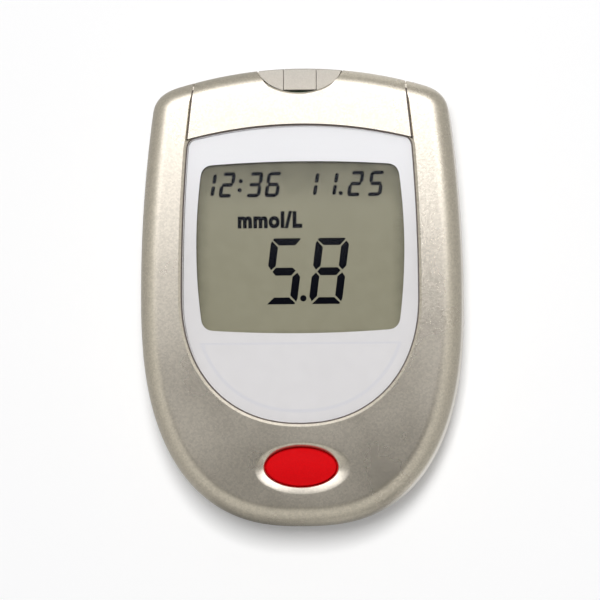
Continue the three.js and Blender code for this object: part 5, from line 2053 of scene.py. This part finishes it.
@dataclass
class Cells:
    """The two AAA cells, in plain wraps."""

    radius: float = 5.25
    length: float = 44.5
    nub_radius: float = 1.9
    nub_length: float = 0.9
    core: float = 0.02
    wrap: Colour = srgb(52, 84, 122)

    def dress(self) -> None:
        """Turns each cell's section round its axis and hands it over."""
        for index, name in enumerate(("battery_1", "battery_2")):
            low, high = (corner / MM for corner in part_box(name))
            middle = (low + high) / 2
            forward = self.nub_at_head(name)
            r = self.radius
            profile = [
                (self.core, 0.0),
                (r * 0.62, 0.0),
                (r * 0.66, 0.14),
                (r - 0.55, 0.18),
                (r - 0.42, 0.06),
                (r - 0.12, 0.1),
                (r, 0.4),
                (r, self.length / 2),
                (r, self.length - self.nub_length - 0.35),
                (r - 0.15, self.length - self.nub_length - 0.05),
                (r - 0.7, self.length - self.nub_length),
                (r - 0.85, self.length - self.nub_length - 0.25),
                (self.nub_radius + 0.5, self.length - self.nub_length - 0.25),
                (self.nub_radius, self.length - self.nub_length),
                (self.nub_radius, self.length - 0.2),
                (self.nub_radius - 0.2, self.length),
                (self.core, self.length),
            ]
            circle = ellipse(0.0, 1.0, 1.0, 72)
            rings = [level_ring(circle * radius, rise) for radius, rise in profile]
            cell = loft(f"cell_{index + 1}", rings)
            tilt = Matrix.Rotation(-math.pi / 2 if forward else math.pi / 2, 4, "X")
            start = low.y if forward else high.y
            cell.data.transform(Matrix.Translation((middle.x, start, middle.z)) @ tilt)
            title = f"cell_wrap_{index + 1}"
            wrap = CellFinish(title, self.wrap, 0.3, start=start, forward=forward, length=self.length)
            hand_over(cell, Body.CASE, wrap.material(), [name], 40.0)

    @staticmethod
    def nub_at_head(name: str) -> bool:
        """Tells whether a cell's positive nub points to +Y.

        Args:
            name: the frame's node of the cell.

        Returns:
            Whether its end at +Y is narrow.
        """
        sliver, narrow = 0.0002, 0.006
        co = np.array([vertex.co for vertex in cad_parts[name].data.vertices])
        top = co[co[:, 1] > co[:, 1].max() - sliver]
        return float(np.ptp(top[:, 0])) < narrow


@dataclass(frozen=True)
class CellFinish(Finish):
    """A cell's printed wrap: plain, with a pale band and a pale line."""

    start: float = 0.0
    forward: bool = True
    length: float = 44.5
    band: float = 9.0
    line_gap: float = 1.2
    line_half: float = 0.4
    pale: Colour = (0.62, 0.63, 0.64)

    def base_colour(self, nodes: Nodes, place: bpy.types.NodeSocket) -> object:
        """Paints the wrap's bands along the cell.

        Args:
            nodes: the material's nodes.
            place: the object coordinates.

        Returns:
            The colour.
        """
        split = nodes.add("ShaderNodeSeparateXYZ")
        nodes.link(place, split.inputs[0])
        sign = 1.0 if self.forward else -1.0
        along = nodes.maths("MULTIPLY_ADD", split.outputs["Y"], sign / MM)
        along.node.inputs[2].default_value = -sign * self.start
        upper = nodes.maths("GREATER_THAN", along, self.length - self.band)
        thin = nodes.maths("COMPARE", along, self.length - self.band - self.line_gap)
        thin.node.inputs[2].default_value = self.line_half
        wrapped = nodes.blend(upper, self.colour, self.pale)
        return nodes.blend(thin, wrapped, self.pale)


@dataclass
class InnerParts:
    """The frame's own pieces that stay, each with its finish."""

    finishes: tuple[tuple[str, Finish], ...] = (
        ("lcd_reflector", REFLECTOR_FILM),
        ("lcd_holder", WHITE_PLASTIC),
        ("zebra_strip", GREY_RUBBER),
        ("circuit_board", BOARD_GREEN),
        ("strip_connector", BLACK_PLASTIC),
        ("strip_contact", GOLD_METAL),
        ("controller_chip", BLACK_PLASTIC),
        ("clock_crystal", TINNED_METAL),
        ("beeper", BLACK_PLASTIC),
        ("main_switch", TINNED_METAL),
        ("main_plunger", BLACK_PLASTIC),
        ("set_switch", TINNED_METAL),
        ("set_plunger", BLACK_PLASTIC),
        ("set_button", GREY_PLASTIC),
        ("contact_", TINNED_METAL),
        ("board_screw", SCREW_STEEL),
    )

    def dress(self) -> None:
        """Gives every shown node of the frame its finish."""
        for name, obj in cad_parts.items():
            if obj.hide_render:
                continue
            matches = (finish for start, finish in self.finishes if name.startswith(start))
            finish = next(matches, WHITE_PLASTIC)
            material = finish.material()
            for index in range(len(obj.material_slots)):
                obj.material_slots[index].material = material
            if not obj.material_slots:
                obj.data.materials.append(material)
            LOG.info("%s: carried over in %s", name, finish.name)


# The studio


@dataclass
class Studio:
    """The floor, the soft lamp, the cards that reflections see, and the camera. Its sizes are in metres."""

    target: tuple[float, float, float] = (0.0, 0.0005, 0.012)
    distance: float = 0.8
    elevation: float = 87.0
    side_tilt: float = 3.8
    roll: float = -0.33
    frame_width: float = 0.1202
    shift_x: float = 0.0051
    shift_y: float = -0.0075
    sensor: float = 36.0
    floor_size: float = 6.0
    floor_sink: float = 0.0002
    floor_colour: Colour = (0.84, 0.85, 0.875)
    floor_glow: float = 0.165
    room_level: float = 0.22
    lamp_place: tuple[float, float, float] = (0.03, 0.12, 0.9)
    lamp_size: tuple[float, float] = (0.12, 0.27)
    lamp_power: float = 6.3
    lamp_colour: Colour = (1.0, 0.985, 0.955)
    card_radius: float = 1.9
    card_height: float = 3.0
    card_low: float = 0.6
    card_side: float = 0.82
    card_front: float = 0.75
    lobe_colour: Colour = (0.97, 0.985, 1.08)
    lobe_level: float = 3.2
    table_card_size: float = 0.6
    table_card_sink: float = 0.0001
    table_dim: float = 0.62
    table_lit: float = 0.95

    def build(self) -> None:
        """Builds the whole studio."""
        self.floor()
        self.world()
        self.softbox()
        self.card()
        self.table_card()
        self.camera()

    @staticmethod
    def seen(nodes: Nodes) -> bpy.types.NodeSocket:
        """Tells what the eye sees, straight or by a reflection or through glass.

        Args:
            nodes: the nodes of the material or the world.

        Returns:
            1 where it is seen so, or else 0.
        """
        path = nodes.add("ShaderNodeLightPath")
        straight = nodes.maths("MAXIMUM", path.outputs["Is Camera Ray"], path.outputs["Is Glossy Ray"])
        return nodes.maths("MAXIMUM", straight, path.outputs["Is Transmission Ray"])

    def floor(self) -> None:
        """Adds the pale floor, which the camera sees white but for the object's shadow."""
        choose_none()
        bpy.ops.mesh.primitive_plane_add(size=self.floor_size, location=(0, 0, -self.floor_sink))
        floor = bpy.context.object
        floor.name = "floor"
        material, nodes = new_material("floor")
        shader = material.node_tree.nodes["Principled BSDF"]
        shader.inputs["Base Color"].default_value = (*self.floor_colour, 1)
        shader.inputs["Roughness"].default_value = 0.9
        shader.inputs["Specular IOR Level"].default_value = 0.0
        shader.inputs["Emission Color"].default_value = (1, 1, 1, 1)
        glow = nodes.maths("MULTIPLY", self.seen(nodes), self.floor_glow)
        nodes.link(glow, shader.inputs["Emission Strength"])
        floor.data.materials.append(material)
        floor.visible_glossy = False

    def world(self) -> None:
        """Lights the room evenly, and shows it white to the camera."""
        world = bpy.data.worlds.new("room")
        bpy.context.scene.world = world
        world.use_nodes = True
        nodes = Nodes(world.node_tree)
        back = world.node_tree.nodes["Background"]
        back.inputs["Color"].default_value = (1.0, 1.0, 1.0, 1)
        nodes.link(nodes.band(self.seen(nodes), 0.0, 1.0, self.room_level, 1.0), back.inputs["Strength"])

    def softbox(self) -> None:
        """Adds the soft lamp, which points at the object. Reflections see the card instead of it."""
        choose_none()
        bpy.ops.object.light_add(type="AREA", location=self.lamp_place)
        lamp = bpy.context.object
        lamp.name = "overhead"
        lamp.data.shape = "RECTANGLE"
        lamp.data.size, lamp.data.size_y = self.lamp_size
        lamp.data.energy = self.lamp_power
        lamp.data.color = self.lamp_colour
        aim = Vector(self.target) - Vector(self.lamp_place)
        lamp.rotation_euler = aim.to_track_quat("-Z", "Y").to_euler()
        lamp.visible_glossy = False
        lamp.visible_transmission = False

    def card(self) -> None:
        """Sets a drum of card round the table, which only reflections see.

        It is grey, darkest overhead, with a broad bright lobe from overhead down towards +Y.
        """
        choose_none()
        bpy.ops.mesh.primitive_cylinder_add(vertices=96, radius=self.card_radius, depth=self.card_height)
        card = bpy.context.object
        card.name = "grey_card"
        material, nodes = new_material("grey_card", bare=True)
        aim = nodes.add("ShaderNodeVectorMath", operation="NORMALIZE")
        nodes.link(nodes.add("ShaderNodeTexCoord").outputs["Object"], aim.inputs[0])
        split = nodes.add("ShaderNodeSeparateXYZ")
        nodes.link(aim.outputs["Vector"], split.inputs[0])
        low = nodes.band(split.outputs["Z"], 0.0, 0.5, self.card_low, self.card_side)
        high = nodes.band(split.outputs["Z"], 0.8, 1.0, 1.0, 0.0)
        near = nodes.eased(split.outputs["Y"], -0.45, -0.8)
        near = nodes.maths("MULTIPLY", near, nodes.eased(split.outputs["Z"], 0.3, -0.2))
        low = nodes.maths("MULTIPLY", low, nodes.band(near, 0.0, 1.0, 1.0, self.card_front))
        start = nodes.eased(split.outputs["Y"], 0.045, 0.2)
        side = nodes.eased(nodes.maths("ABSOLUTE", split.outputs["X"], 0.0), 0.95, 0.25)
        rise = nodes.eased(split.outputs["Z"], 0.25, 0.85)
        lobe = nodes.maths("MULTIPLY", nodes.maths("MULTIPLY", start, side), rise)
        grey = nodes.add("ShaderNodeEmission")
        nodes.link(nodes.maths("MULTIPLY", low, high), grey.inputs["Strength"])
        bright = nodes.add("ShaderNodeEmission")
        bright.inputs["Color"].default_value = (*self.lobe_colour, 1)
        nodes.link(nodes.maths("MULTIPLY", lobe, self.lobe_level), bright.inputs["Strength"])
        both = nodes.add("ShaderNodeAddShader")
        nodes.link(grey.outputs[0], both.inputs[0])
        nodes.link(bright.outputs[0], both.inputs[1])
        nodes.link(both.outputs[0], nodes.add("ShaderNodeOutputMaterial").inputs["Surface"])
        self.reflected_only(card, material)

    def table_card(self) -> None:
        """Lays a card on the table that only reflections see, with painted shadow at the foot and -X side."""
        choose_none()
        place = (0, 0, -self.table_card_sink)
        bpy.ops.mesh.primitive_plane_add(size=self.table_card_size, location=place)
        card = bpy.context.object
        card.name = "table_card"
        material, nodes = new_material("table_card", bare=True)
        split = nodes.add("ShaderNodeSeparateXYZ")
        nodes.link(nodes.add("ShaderNodeTexCoord").outputs["Object"], split.inputs[0])
        back = nodes.maths("MULTIPLY", split.outputs["Y"], -1.0)
        across = nodes.maths("MULTIPLY", nodes.maths("ABSOLUTE", split.outputs["X"], 0.0), 1.2)
        foot = nodes.eased(nodes.maths("SUBTRACT", back, across), 0.005, 0.035)
        shade = nodes.band(back, 0.048, 0.09, 0.7, 0.3)
        shade = nodes.maths("SUBTRACT", 1.0, nodes.maths("MULTIPLY", foot, shade))
        # painted shade: the card is dimmer on the -X side and past the object's +X side
        left = nodes.band(split.outputs["X"], -0.01, 0.01, self.table_dim, 1.0)
        right = nodes.band(split.outputs["X"], 0.034, 0.044, self.table_lit, self.table_dim)
        level = nodes.maths("MULTIPLY", left, right)
        glow = nodes.add("ShaderNodeEmission")
        nodes.link(nodes.maths("MULTIPLY", level, shade), glow.inputs["Strength"])
        nodes.link(glow.outputs[0], nodes.add("ShaderNodeOutputMaterial").inputs["Surface"])
        self.reflected_only(card, material)

    def reflected_only(self, card: bpy.types.Object, material: bpy.types.Material) -> None:
        """Gives a card its material and hides it from all but reflections.

        Args:
            card: the card.
            material: its material.
        """
        card.data.materials.append(material)
        card.visible_camera = False
        card.visible_diffuse = False
        card.visible_shadow = False

    def camera(self) -> None:
        """Places the camera over the face, as in the photograph."""
        choose_none()
        turn = Euler([math.radians(angle) for angle in (90 - self.elevation, self.side_tilt, self.roll)])
        place = Vector(self.target) + turn.to_matrix() @ Vector((0, 0, self.distance))
        bpy.ops.object.camera_add(location=place)
        camera = bpy.context.object
        camera.rotation_euler = turn
        camera.data.sensor_width = self.sensor
        camera.data.lens = self.sensor * self.distance / self.frame_width
        camera.data.shift_x = -self.shift_x
        camera.data.shift_y = self.shift_y
        camera.data.clip_start = 0.01
        bpy.context.scene.camera = camera
        bpy.context.scene.view_settings.view_transform = "Standard"


def main() -> None:
    """Builds the meter's looks and its studio."""
    form, lens, cover = CaseForm(), LensForm(), CoverForm()
    button = MainButton(form)
    door = BatteryDoor(form)
    rear = RearHousing(form, door)
    for assembly in (
        FrontHousing(form, lens, cover, button),
        TopCover(form, lens, cover),
        StripPort(form, cover),
        button,
        Display(form, lens),
        rear,
        door,
        Fasteners(rear),
        Cells(),
        InnerParts(),
    ):
        assembly.dress()
    Studio().build()


if __name__ == "__main__":
    main()
